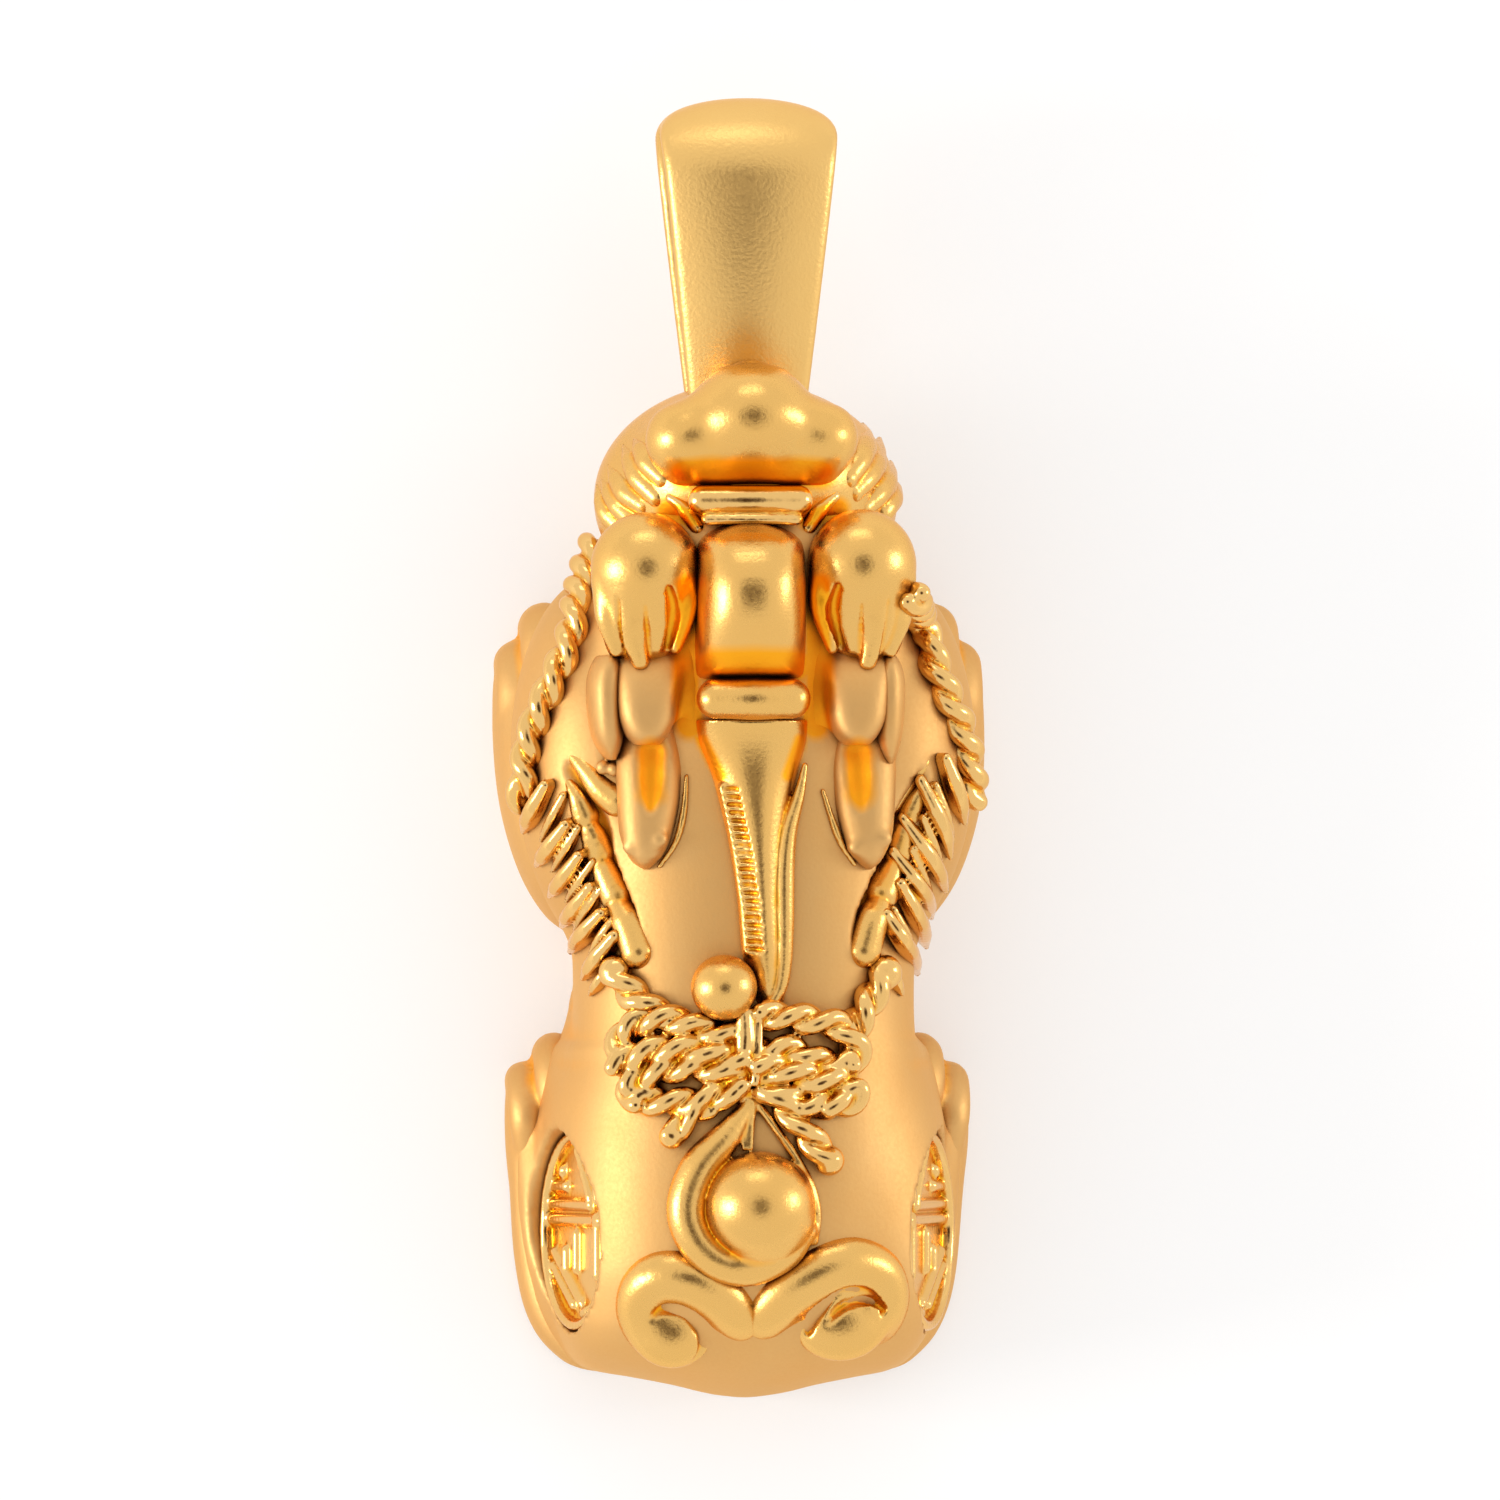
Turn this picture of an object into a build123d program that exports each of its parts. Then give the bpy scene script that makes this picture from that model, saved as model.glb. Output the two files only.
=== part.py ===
from build123d import *
import os
from collections import namedtuple
from math import asin, cos, pi, radians, sin, sqrt, tan
import numpy as np

# A crouching pixiu in one piece of cast metal, with a bail soldered to its jaw. It lies on its belly and
# soles: x runs across, y from the rump to the chin, z up from the ground. Millimetres.
beast_length = 20.4  # rump to chin
beast_width = 9.8  # over the forelegs
back_height = 6.4  # ground to the top of the back
head_height = 8.4  # ground to the top of the forehead
rump_width = 8.0  # across the barrel at the rump
shoulder_width = 9.2  # across both shoulders
jaw_width = 6.05  # across the cheeks
rest_share = 0.492  # where the origin lies between rump and chin
haunch_width = 3.3  # one haunch, side to side
haunch_height = 5.6
haunch_lean = 14  # degrees that its side leans in towards the back
hind_foot_width = 1.9
hind_foot_height = 2.0
foreleg_width = 2.3  # one foreleg, side to side
foreleg_height = 3.9
toe_radius = 0.42

nose_width = 4.3
nose_radius = 1.0  # the middle dome
nostril_radius = 0.78
bridge_radius = 0.9
bridge_band_radius = 0.2
forehead_width = 2.2
forehead_rise = 0.85  # how far the forehead stands above its own middle
brow_radius = 1.03
brow_spread = 4.34  # between the centres of the brow balls
hair_radius = 0.26
horn_radius = 0.54  # the short upper lobes
horn_tip_radius = 0.65  # the long lower lobes
horn_spread = 4.25  # between the horns of the two sides
ear_radius = 0.24
cheek_fur_radius = 0.3
collar_radius = 0.42
collar_width = 2.4
collar_lift = 1.2  # height of its middle over the back, in its radii
crest_rise = 0.5  # the mane ridge above the back

rope_radius = 0.3
wing_band_radius = 0.3
feather_radius = 0.27
bead_radius = 0.66
knot_radius = 0.3
ball_radius = 1.1  # the ball that the tail curls around
tail_radius = 0.36  # the thickest part of the swirl is a tenth more
scroll_radius = 0.45
scroll_eye_radius = 0.42

medallion_radius = 2.0
medallion_depth = 0.25
medallion_inset = 0.25  # how far its rim lies inside the roundest part of the haunch
medallion_bar = 0.2  # width of the raised bars
medallion_bar_rise = 0.22  # height of the bars over the recess

bail_length = 5.7  # how far it stands out in front of the jaw
bail_width = 3.54  # at the top
bail_foot_width = 2.3
bail_depth = 3.3  # front to back, outside
bail_foot_depth = 1.9
bail_wall = 0.7
bail_corner = 0.81  # round of the top corners, seen from the front
bail_top_width = 3.4  # at the very top, where the sides have begun to turn in
bail_shoulder = 0.9  # from the top down to its widest place
bail_sink = 0.7  # how deep the foot goes into the jaw
bail_up = 0.465  # its middle, as a share of the head's height

# Sections of the barrel, rump to neck: across, low and high are shares of rump_width / 2 and back_height.
Section = namedtuple("Section", "along across low high square")
torso_sections = [
    Section(0.000, 0.10, 0.40, 0.52, 2.1),
    Section(0.012, 0.45, 0.17, 0.66, 2.3),
    Section(0.036, 0.80, -0.02, 0.78, 2.6),
    Section(0.080, 0.95, -0.08, 0.91, 2.8),
    Section(0.159, 1.00, -0.08, 1.00, 2.7),
    Section(0.281, 0.95, -0.08, 1.01, 2.5),
    Section(0.370, 0.86, -0.08, 0.99, 2.3),
    Section(0.458, 0.86, -0.08, 1.00, 2.3),
    Section(0.580, 0.86, -0.08, 1.01, 2.3),
    Section(0.698, 0.80, -0.08, 1.00, 2.3),
    Section(0.801, 0.67, 0.00, 0.90, 2.3),
    Section(0.870, 0.50, 0.05, 0.78, 2.2),
]

# Sections of one leg: out is the middle's place, thick the width and high the height, each as a share.
LegSection = namedtuple("LegSection", "along out thick low high square")
haunch_sections = [
    LegSection(0.357, 0.60, 0.30, 0.06, 0.30, 2.2),
    LegSection(0.336, 0.56, 0.67, -0.06, 0.57, 2.4),
    LegSection(0.286, 0.50, 0.97, -0.08, 0.88, 2.8),
    LegSection(0.223, 0.47, 1.00, -0.08, 1.00, 3.2),
    LegSection(0.149, 0.46, 1.00, -0.08, 0.98, 3.2),
    LegSection(0.090, 0.44, 0.93, -0.08, 0.87, 3.0),
    LegSection(0.051, 0.41, 0.73, -0.04, 0.64, 2.4),
    LegSection(0.029, 0.38, 0.42, 0.12, 0.43, 2.2),
]
hind_foot_sections = [
    LegSection(0.362, 0.74, 0.45, 0.05, 0.55, 2.2),
    LegSection(0.336, 0.77, 0.90, -0.15, 0.85, 2.3),
    LegSection(0.280, 0.775, 1.00, -0.20, 1.00, 2.3),
    LegSection(0.200, 0.735, 1.00, -0.20, 1.00, 2.3),
    LegSection(0.120, 0.70, 1.00, -0.20, 0.95, 2.3),
    LegSection(0.070, 0.64, 0.95, -0.20, 0.85, 2.3),
    LegSection(0.045, 0.55, 0.85, -0.10, 0.75, 2.2),
    LegSection(0.030, 0.50, 0.50, 0.10, 0.55, 2.2),
]
foreleg_sections = [
    LegSection(0.789, 0.73, 0.43, 0.05, 0.31, 2.2),
    LegSection(0.757, 0.77, 0.87, -0.08, 0.52, 2.4),
    LegSection(0.698, 0.78, 0.96, -0.10, 0.72, 2.4),
    LegSection(0.590, 0.75, 1.00, -0.10, 1.00, 2.4),
    LegSection(0.522, 0.69, 0.92, -0.10, 1.00, 2.4),
    LegSection(0.477, 0.63, 0.70, -0.06, 0.82, 2.3),
    LegSection(0.455, 0.59, 0.35, 0.10, 0.56, 2.2),
]

# Places on the face and neck, as shares of beast_length and head_height.
Place = namedtuple("Place", "along up")
places = {
    "nose": Place(0.963, 0.827),
    "nose root": Place(0.948, 0.815),
    "nostril": Place(0.932, 0.785),
    "bridge front": Place(0.930, 0.780),
    "bridge rear": Place(0.850, 0.800),
    "front band": Place(0.888, 0.860),
    "rear band": Place(0.866, 0.860),
    "forehead": Place(0.788, 1.000),
    "brow": Place(0.816, 0.790),
    "hair tip": Place(0.724, 0.835),
    "upper horn root": Place(0.745, 0.770),
    "upper horn tip": Place(0.644, 0.0),
    "lower horn root": Place(0.660, 0.0),
    "lower horn tip": Place(0.527, 0.0),
    "collar": Place(0.690, 0.0),
}
forehead_length = 0.156  # share of beast_length
nose_root_size = 0.85  # share of nose_radius

# The ear lies beside the horns: out is from the horn's middle, in ear radii.
Ear = namedtuple("Ear", "along out up size")
ear_rows = [Ear(0.75, 3.3, 0.69, 1.0), Ear(0.69, 3.7, 0.68, 1.3), Ear(0.63, 3.1, 0.67, 1.0)]

# Rounded masses of the head and neck: half lengths as shares of jaw_width, beast_length and head_height.
Mass = namedtuple("Mass", "along up across length high")
head_masses = {
    "neck": Mass(0.757, 0.50, 0.51, 0.157, 0.357),
    "skull": Mass(0.816, 0.62, 0.455, 0.113, 0.285),
    "jaw": Mass(0.884, 0.44, 0.50, 0.115, 0.32),
    "muzzle": Mass(0.914, 0.68, 0.314, 0.078, 0.19),
}
shoulder = Mass(0.634, 0.44, 0.19, 0.176, 0.46)
shoulder_out = 0.63  # middle of a shoulder, as a share of its outer edge

# Toe tips: out as a share of half the beast's width.
Toe = namedtuple("Toe", "along out size")
fore_toes = [Toe(0.791, 0.67, 1.00), Toe(0.781, 0.82, 1.00), Toe(0.750, 0.93, 0.85)]
hind_toes = [Toe(0.362, 0.67, 0.90), Toe(0.360, 0.79, 1.00), Toe(0.338, 0.90, 0.85)]
toe_run = 0.08  # length of a toe, as a share of the beast's length

# Paths over the body: along and out are shares, lift is the height over the skin in rope or band radii.
Point = namedtuple("Point", "along out lift")
shoulder_rope = [
    Point(0.826, 0.63, 0.4),
    Point(0.780, 0.68, 0.4),
    Point(0.730, 0.78, 0.4),
    Point(0.680, 0.85, 0.4),
    Point(0.640, 0.90, 0.4),
    Point(0.604, 0.91, 0.4),
]
waist_rope = [Point(0.433, 0.55, 0.7), Point(0.410, 0.49, 0.7), Point(0.380, 0.39, 0.7)]
wing_band = [
    Point(0.644, 0.76, 0.3),
    Point(0.580, 0.62, 0.3),
    Point(0.516, 0.54, 0.3),
    Point(0.436, 0.45, 0.3),
]
Feather = namedtuple("Feather", "root_along root_out tip_along tip_out")
feathers = [
    Feather(0.625, 0.78, 0.566, 0.89),
    Feather(0.600, 0.72, 0.529, 0.83),
    Feather(0.572, 0.66, 0.500, 0.79),
    Feather(0.545, 0.62, 0.473, 0.75),
    Feather(0.518, 0.59, 0.448, 0.71),
    Feather(0.490, 0.55, 0.419, 0.66),
    Feather(0.462, 0.51, 0.408, 0.58),
]

# The bow: loops of rope that leave the knot and come back to it, then its two tails. Each spot is along
# and out, and out is negative on the left.
bow_radius = 0.27
bow_lift = 0.5  # height of the rope's middle over the skin, in its radii
bow_loops = [
    [(0.372, -0.08), (0.379, -0.25), (0.376, -0.42), (0.360, -0.48), (0.350, -0.40), (0.354, -0.08)],
    [(0.342, -0.08), (0.342, -0.26), (0.335, -0.45), (0.315, -0.50), (0.300, -0.42), (0.322, -0.08)],
    [(0.372, -0.02), (0.382, 0.12), (0.380, 0.27), (0.365, 0.34), (0.352, 0.28), (0.356, -0.02)],
    [(0.340, 0.00), (0.342, 0.16), (0.340, 0.32), (0.323, 0.40), (0.305, 0.34), (0.322, 0.02)],
]
bow_tails = [
    [(0.305, -0.12), (0.290, -0.24), (0.266, -0.33)],
    [(0.330, 0.00), (0.275, 0.15), (0.232, 0.28)],
]
knot = [(0.378, -0.05), (0.348, -0.06), (0.316, -0.05)]
knot_lift = 1.2
bead_spot = Point(0.409, -0.135, 0.6)

# The tail: a swirl around a ball, and a thin border on the ball's other side. The sizes are in tail radii.
tail_ball = Point(0.195, 0.02, 0.35)
tail_swirl = [
    Point(0.300, -0.06, 0.2),
    Point(0.255, -0.20, 0.3),
    Point(0.200, -0.28, 0.4),
    Point(0.155, -0.21, 0.4),
    Point(0.136, -0.06, 0.4),
    Point(0.145, 0.10, 0.4),
    Point(0.170, 0.19, 0.2),
]
swirl_sizes = [0.4, 0.8, 1.1, 1.1, 1.0, 0.8, 0.5]
tail_border = [
    Point(0.298, 0.00, 0.2),
    Point(0.255, 0.12, 0.3),
    Point(0.205, 0.25, 0.3),
    Point(0.165, 0.25, 0.2),
]
border_sizes = [0.3, 0.4, 0.4, 0.3]

# Each cloud scroll on the rump curls out from the middle and round its eye.
scroll_path = [
    Point(0.070, 0.03, -0.2),
    Point(0.105, 0.10, 0.2),
    Point(0.135, 0.22, 0.3),
    Point(0.130, 0.38, 0.3),
    Point(0.100, 0.47, 0.3),
    Point(0.070, 0.42, 0.2),
]
scroll_sizes = [0.7, 0.9, 1.0, 1.0, 0.9, 0.6]
scroll_eye = Point(0.086, 0.29, 0.1)

# The mane ridge: out is where its middle lies, wide its width as a share of the collar's.
CrestSection = namedtuple("CrestSection", "along out wide rise")
crest_sections = [
    CrestSection(0.672, -0.01, 0.90, 1.0),
    CrestSection(0.630, 0.00, 0.72, 1.0),
    CrestSection(0.590, 0.01, 0.54, 1.0),
    CrestSection(0.541, 0.02, 0.42, 1.0),
    CrestSection(0.470, 0.03, 0.34, 0.9),
    CrestSection(0.420, 0.05, 0.28, 0.8),
    CrestSection(0.389, 0.07, 0.20, 0.5),
]

# Fur over the jaw, as shares of beast_length and jaw_width, and hair under the brows, in brow radii across.
Fur = namedtuple("Fur", "root_along root_out tip_along tip_out")
cheek_fur = [
    Fur(0.945, 0.30, 0.905, 0.44),
    Fur(0.925, 0.38, 0.885, 0.49),
    Fur(0.905, 0.42, 0.865, 0.50),
    Fur(0.890, 0.46, 0.850, 0.49),
]
brow_hair = [-0.72, -0.26, 0.22, 0.70]

# The coin's raised bars, in medallion radii: where the middle lies along and up, and the lengths both ways.
Bar = namedtuple("Bar", "along up length height")
medallion_bars = [
    Bar(0.00, 0.62, 1.30, 0.10),
    Bar(0.00, 0.00, 0.10, 1.50),
    Bar(0.42, 0.12, 0.50, 0.10),
    Bar(-0.42, 0.12, 0.50, 0.10),
    Bar(0.50, -0.30, 0.10, 0.72),
    Bar(-0.50, -0.30, 0.10, 0.72),
]
medallion_along = 0.167
medallion_up = 0.61  # share of the haunch's height

# How finely the skin follows the forms: sections along the body, points round each, steps out from the axis.
skin_rings = 120
skin_turns = 90
skin_step = 0.04
end_crowding = 0.35  # how much closer the sections lie at the two ends

# The axis that the skin is measured from: up is a share of back_height.
AxisPoint = namedtuple("AxisPoint", "along up")
axis_points = [
    AxisPoint(0.00, 0.46),
    AxisPoint(0.08, 0.42),
    AxisPoint(0.80, 0.42),
    AxisPoint(0.93, 0.56),
    AxisPoint(1.00, 0.58),
]

# A form is a mass or a strand: it reaches from rear to front, and its field is negative inside it.
Form = namedtuple("Form", "rear front field")


def y_at(along):
    return (along - rest_share) * beast_length


def along_at(y):
    return y / beast_length + rest_share


def x_at(out):
    return out * beast_width / 2


def head_spot(along, x, up):
    return Vector(x, y_at(along), up * head_height)


def place(name, x=0):
    return head_spot(places[name].along, x, places[name].up)


def read(sections, column, along):
    """A column of a table of sections, between its rows."""
    rows = sorted(sections, key=lambda row: row.along)
    return float(np.interp(along, [row.along for row in rows], [getattr(row, column) for row in rows]))


def oval_height(reach, low, high, square):
    """Height of a squared oval's upper skin at a share of its half width."""
    if reach >= 1:
        return 0
    return (low + high) / 2 + (high - low) / 2 * (1 - reach**square) ** (1 / square)


def torso_top(along, out):
    half = read(torso_sections, "across", along) * rump_width / 2
    low = read(torso_sections, "low", along) * back_height
    high = read(torso_sections, "high", along) * back_height
    reach = min(abs(x_at(out)) / half, 0.98)
    return oval_height(reach, low, high, read(torso_sections, "square", along))


def shoulder_shape():
    """Middle and half sizes of the right shoulder."""
    middle = Vector(shoulder_out * shoulder_width / 2, y_at(shoulder.along), shoulder.up * back_height)
    half_length = shoulder.length * beast_length
    return middle, Vector(shoulder.across * shoulder_width, half_length, shoulder.high * back_height)


def jaw_shape():
    jaw = head_masses["jaw"]
    half = Vector(jaw.across * jaw_width, jaw.length * beast_length, jaw.high * head_height)
    return head_spot(jaw.along, 0, jaw.up), half


def egg_top(shape, x, y):
    middle, half = shape
    room = 1 - ((x - middle.X) / half.X) ** 2 - ((y - middle.Y) / half.Y) ** 2
    return middle.Z + half.Z * sqrt(max(room, 0))


def skin_height(along, out):
    """Height of the smooth body over a spot, which carries the relief."""
    return max(torso_top(along, out), egg_top(shoulder_shape(), abs(x_at(out)), y_at(along)))


def on_skin(point, radius):
    z = skin_height(point.along, point.out) + point.lift * radius
    return Vector(x_at(point.out), y_at(point.along), z)


def egg(middle, half):
    """An ellipsoid."""
    def field(x, y, z):
        across, along, up = (x - middle.X) / half.X, (y - middle.Y) / half.Y, (z - middle.Z) / half.Z
        return (np.sqrt(across**2 + along**2 + up**2) - 1) * min(half.X, half.Y, half.Z)

    return Form(middle.Y - half.Y, middle.Y + half.Y, field)


def strand(points, radii):
    """A tapering round strand along a smooth path."""
    count = 4 * len(points)
    path = Edge.make_spline(points)
    spots = [path.position_at(i / count) for i in range(count + 1)]
    sizes = np.interp(np.linspace(0, len(radii) - 1, count + 1), range(len(radii)), radii)

    def field(x, y, z):
        nearest = np.full(x.shape, np.inf)
        for start, end, first, last in zip(spots, spots[1:], sizes, sizes[1:]):
            run = end - start
            across, along, up = x - start.X, y - start.Y, z - start.Z
            share = np.clip((across * run.X + along * run.Y + up * run.Z) / run.length**2, 0, 1)
            across, along, up = across - share * run.X, along - share * run.Y, up - share * run.Z
            gap = np.sqrt(across**2 + along**2 + up**2)
            nearest = np.minimum(nearest, gap - first - share * (last - first))
        return nearest

    widest = max(radii)
    return Form(min(spot.Y for spot in spots) - widest, max(spot.Y for spot in spots) + widest, field)


def barrel(rows, lean=0):
    """A mass through squared ovals: each row holds y, middle x, half width, low, high and power."""
    rows = np.array(sorted(rows))

    def field(x, y, z):
        middle, half, low, high, square = (np.interp(y, rows[:, 0], column) for column in rows.T[1:])
        rise = (high - low) / 2
        up = z - (low + high) / 2
        away = np.abs((x - middle + up * tan(radians(lean))) / half) ** square + np.abs(up / rise) ** square
        return (away ** (1 / square) - 1) * min(half, rise)

    return Form(rows[0, 0], rows[-1, 0], field)


def leg(sections, width, height, lean=0):
    rows = []
    for row in sections:
        half = row.thick * width / 2
        rows.append((y_at(row.along), x_at(row.out), half, row.low * height, row.high * height, row.square))
    return barrel(rows, lean)


def torso():
    rows = []
    for row in torso_sections:
        half = row.across * rump_width / 2
        rows.append((y_at(row.along), 0, half, row.low * back_height, row.high * back_height, row.square))
    return barrel(rows)


def crest():
    rows = []
    for row in crest_sections:
        top = skin_height(row.along, row.out) + row.rise * crest_rise
        half = row.wide * collar_width / 2
        rows.append((y_at(row.along), x_at(row.out), half, top - 3 * crest_rise, top, 2))
    return barrel(rows)


def head():
    forms = []
    for mass in head_masses.values():
        half = Vector(mass.across * jaw_width, mass.length * beast_length, mass.high * head_height)
        forms.append(egg(head_spot(mass.along, 0, mass.up), half))
    return forms


def face():
    """Nose bridge with its two bands, forehead and collar band."""
    half = forehead_width / 2
    forms = [strand([place("bridge front"), place("bridge rear")], [bridge_radius] * 2)]
    for band in ("front band", "rear band"):
        forms.append(strand([place(band, -half), place(band, half)], [bridge_band_radius] * 2))
    middle = place("forehead") - Vector(0, 0, 2 * forehead_rise)
    forms.append(egg(middle, Vector(half, forehead_length * beast_length / 2, 2 * forehead_rise)))
    collar_end = collar_width / 2 - collar_radius
    collar_along = places["collar"].along
    collar_z = skin_height(collar_along, 0) + collar_lift * collar_radius
    ends = [Vector(side * collar_end, y_at(collar_along), collar_z) for side in (-1, 1)]
    forms.append(strand(ends, [collar_radius] * 2))
    return forms


def brow():
    middle = place("brow", brow_spread / 2)
    forms = [egg(middle, Vector(brow_radius, brow_radius, brow_radius))]
    for share in brow_hair:
        start = middle + Vector(share, -0.35, 0.6 - 0.5 * share**2) * brow_radius
        tip = place("hair tip", horn_spread / 2 + share * hair_radius)
        bend = (start + tip) * 0.5 + Vector(share, 0, 1) * hair_radius
        forms.append(strand([start, bend, tip], [hair_radius, hair_radius, hair_radius * 0.7]))
    return forms


def horn():
    """The short lobe, the long one under it, and the ear beside them."""
    x = horn_spread / 2
    tip_y = y_at(places["lower horn tip"].along) + horn_tip_radius
    back_z = skin_height(along_at(tip_y), 2 * x / beast_width)
    low_start = Vector(x, y_at(places["lower horn root"].along), back_z + horn_tip_radius * 0.5)
    low_tip = Vector(x, tip_y, back_z + horn_tip_radius * 0.15)
    high_tip = Vector(x, y_at(places["upper horn tip"].along) + horn_radius, low_start.Z + horn_radius)
    ear = [head_spot(row.along, x + row.out * ear_radius, row.up) for row in ear_rows]
    return [
        strand([low_start, low_tip], [horn_tip_radius] * 2),
        strand([place("upper horn root", x), high_tip], [horn_radius * 1.15, horn_radius]),
        strand(ear, [row.size * ear_radius for row in ear_rows]),
    ]


def cheek():
    """Strands of fur laid over the jaw."""
    forms = []
    for fur in cheek_fur:
        ends = []
        for along, out in ((fur.root_along, fur.root_out), (fur.tip_along, fur.tip_out)):
            x = out * jaw_width
            ends.append(Vector(x, y_at(along), egg_top(jaw_shape(), x, y_at(along))))
        forms.append(strand(ends, [cheek_fur_radius, cheek_fur_radius * 0.8]))
    return forms


def toes(rows):
    forms = []
    for toe in rows:
        radius = toe_radius * toe.size
        tip = Vector(x_at(toe.out), y_at(toe.along) - radius, radius * 1.2)
        root = Vector(x_at(toe.out), y_at(toe.along - toe_run), radius * 1.8)
        forms.append(strand([tip, root], [radius, radius * 1.1]))
    return forms


def wing():
    forms = [strand([on_skin(point, wing_band_radius) for point in wing_band], [wing_band_radius] * 2)]
    for feather in feathers:
        root = on_skin(Point(feather.root_along, feather.root_out, 0.3), feather_radius)
        tip = on_skin(Point(feather.tip_along, feather.tip_out, 0.3), feather_radius)
        forms.append(strand([root, tip], [feather_radius, feather_radius * 0.75]))
    return forms


def side_rope(points):
    return strand([on_skin(point, rope_radius) for point in points], [rope_radius] * 2)


def scroll():
    sizes = [scroll_radius * share for share in scroll_sizes]
    eye = on_skin(scroll_eye, scroll_eye_radius)
    return [
        strand([on_skin(point, scroll_radius) for point in scroll_path], sizes),
        egg(eye, Vector(scroll_eye_radius, scroll_eye_radius, scroll_eye_radius)),
    ]


def bow():
    forms = []
    for spots in bow_loops + bow_tails:
        path = [on_skin(Point(along, out, bow_lift), bow_radius) for along, out in spots]
        forms.append(strand(path, [bow_radius] * 2))
    path = [on_skin(Point(along, out, knot_lift), knot_radius) for along, out in knot]
    forms.append(strand(path, [knot_radius] * 2))
    return forms


def tail():
    swirl = [on_skin(point, tail_radius) for point in tail_swirl]
    border = [on_skin(point, tail_radius) for point in tail_border]
    return [
        strand(swirl, [tail_radius * share for share in swirl_sizes]),
        strand(border, [tail_radius * share for share in border_sizes]),
    ]


def side_forms():
    """What the right side carries. The left is its mirror image."""
    forms = [
        egg(*shoulder_shape()),
        leg(haunch_sections, haunch_width, haunch_height, haunch_lean),
        leg(hind_foot_sections, hind_foot_width, hind_foot_height),
        leg(foreleg_sections, foreleg_width, foreleg_height),
        side_rope(shoulder_rope),
        side_rope(waist_rope),
    ]
    return forms + brow() + horn() + cheek() + wing() + scroll() + toes(fore_toes) + toes(hind_toes)


def axis_z(y):
    return read(axis_points, "up", along_at(y)) * back_height


def reach_out(y, middle_forms, mirrored_forms):
    """How far the forms reach from the axis, in each direction round it."""
    turns = np.arange(skin_turns) * 2 * pi / skin_turns - pi / 2
    steps = np.arange(0, max(beast_width, head_height), skin_step)
    x = np.outer(np.cos(turns), steps)
    z = axis_z(y) + np.outer(np.sin(turns), steps)
    nearest = np.full(x.shape, skin_step)
    for form in middle_forms:
        if form.rear < y < form.front:
            nearest = np.minimum(nearest, form.field(x, y, z))
    for form in mirrored_forms:
        if form.rear < y < form.front:
            nearest = np.minimum(nearest, form.field(np.abs(x), y, z))
    inside = nearest < 0
    last = np.where(inside.any(axis=1), inside.shape[1] - 1 - np.argmax(inside[:, ::-1], axis=1), 0)
    rows = np.arange(skin_turns)
    here = np.minimum(nearest[rows, last], 0)
    beyond = nearest[rows, last + 1]
    return steps[last] + skin_step * here / (here - beyond)


def soften(reach):
    """A light blur over the skin, so that each crease keeps a small round."""
    reach = (np.roll(reach, 1, axis=1) + 2 * reach + np.roll(reach, -1, axis=1)) / 4
    inner = (reach[:-2] + 2 * reach[1:-1] + reach[2:]) / 4
    return np.vstack([reach[:1], inner, reach[-1:]])


def body():
    """The beast as one skin, lofted through closed sections from rump to chin."""
    middle_forms = [torso(), crest()] + head() + face() + bow() + tail()
    mirrored_forms = side_forms()
    jaw_middle, jaw_half = jaw_shape()
    shares = np.linspace(0, 1, skin_rings)
    shares = shares * (1 - end_crowding) + (0.5 - 0.5 * np.cos(pi * shares)) * end_crowding
    rear = y_at(torso_sections[0].along) + skin_step
    front = jaw_middle.Y + jaw_half.Y - skin_step
    stations = [rear + (front - rear) * float(share) for share in shares]
    reach = soften(np.array([reach_out(y, middle_forms, mirrored_forms) for y in stations]))
    turns = np.arange(skin_turns) * 2 * pi / skin_turns - pi / 2
    knots = [i / skin_turns for i in range(skin_turns + 1)]
    rings = []
    for y, row in zip(stations, reach):
        points = [(float(r * np.cos(a)), y, axis_z(y) + float(r * np.sin(a))) for r, a in zip(row, turns)]
        rings.append(Wire([Edge.make_spline(points, periodic=True, parameters=knots)]))
    return Solid.make_loft(rings)


def peg(start, end, start_radius, end_radius):
    """A round-ended peg, turned about the line between two points."""
    run = Vector(*end) - Vector(*start)
    length = run.length
    slope = asin((start_radius - end_radius) / length)

    def rim(height, radius, angle):
        return (radius * cos(angle), height + radius * sin(angle))

    foot = (0, -start_radius)
    top = (0, length + end_radius)
    low_arc = ThreePointArc(foot, rim(0, start_radius, (slope - pi / 2) / 2), rim(0, start_radius, slope))
    side = Line(rim(0, start_radius, slope), rim(length, end_radius, slope))
    top_middle = rim(length, end_radius, (slope + pi / 2) / 2)
    top_arc = ThreePointArc(rim(length, end_radius, slope), top_middle, top)
    profile = make_face([low_arc, side, top_arc, Line(top, foot)])
    return Plane(origin=Vector(*start), z_dir=run) * revolve(Plane.XZ * profile, Axis.Z)


def ball(middle, radius):
    return Pos(*middle) * Sphere(radius)


def nose():
    """A dome with a lobe running out of it to each nostril."""
    lobe_x = nose_width / 2 - nostril_radius
    root_radius = nose_radius * nose_root_size
    forms = [ball(place("nose"), nose_radius)]
    for side in (-1, 1):
        forms.append(peg(place("nose root"), place("nostril", side * lobe_x), root_radius, nostril_radius))
    return forms


def balls():
    bead = ball(on_skin(bead_spot, bead_radius), bead_radius)
    return [bead, ball(on_skin(tail_ball, ball_radius), ball_radius)]


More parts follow.
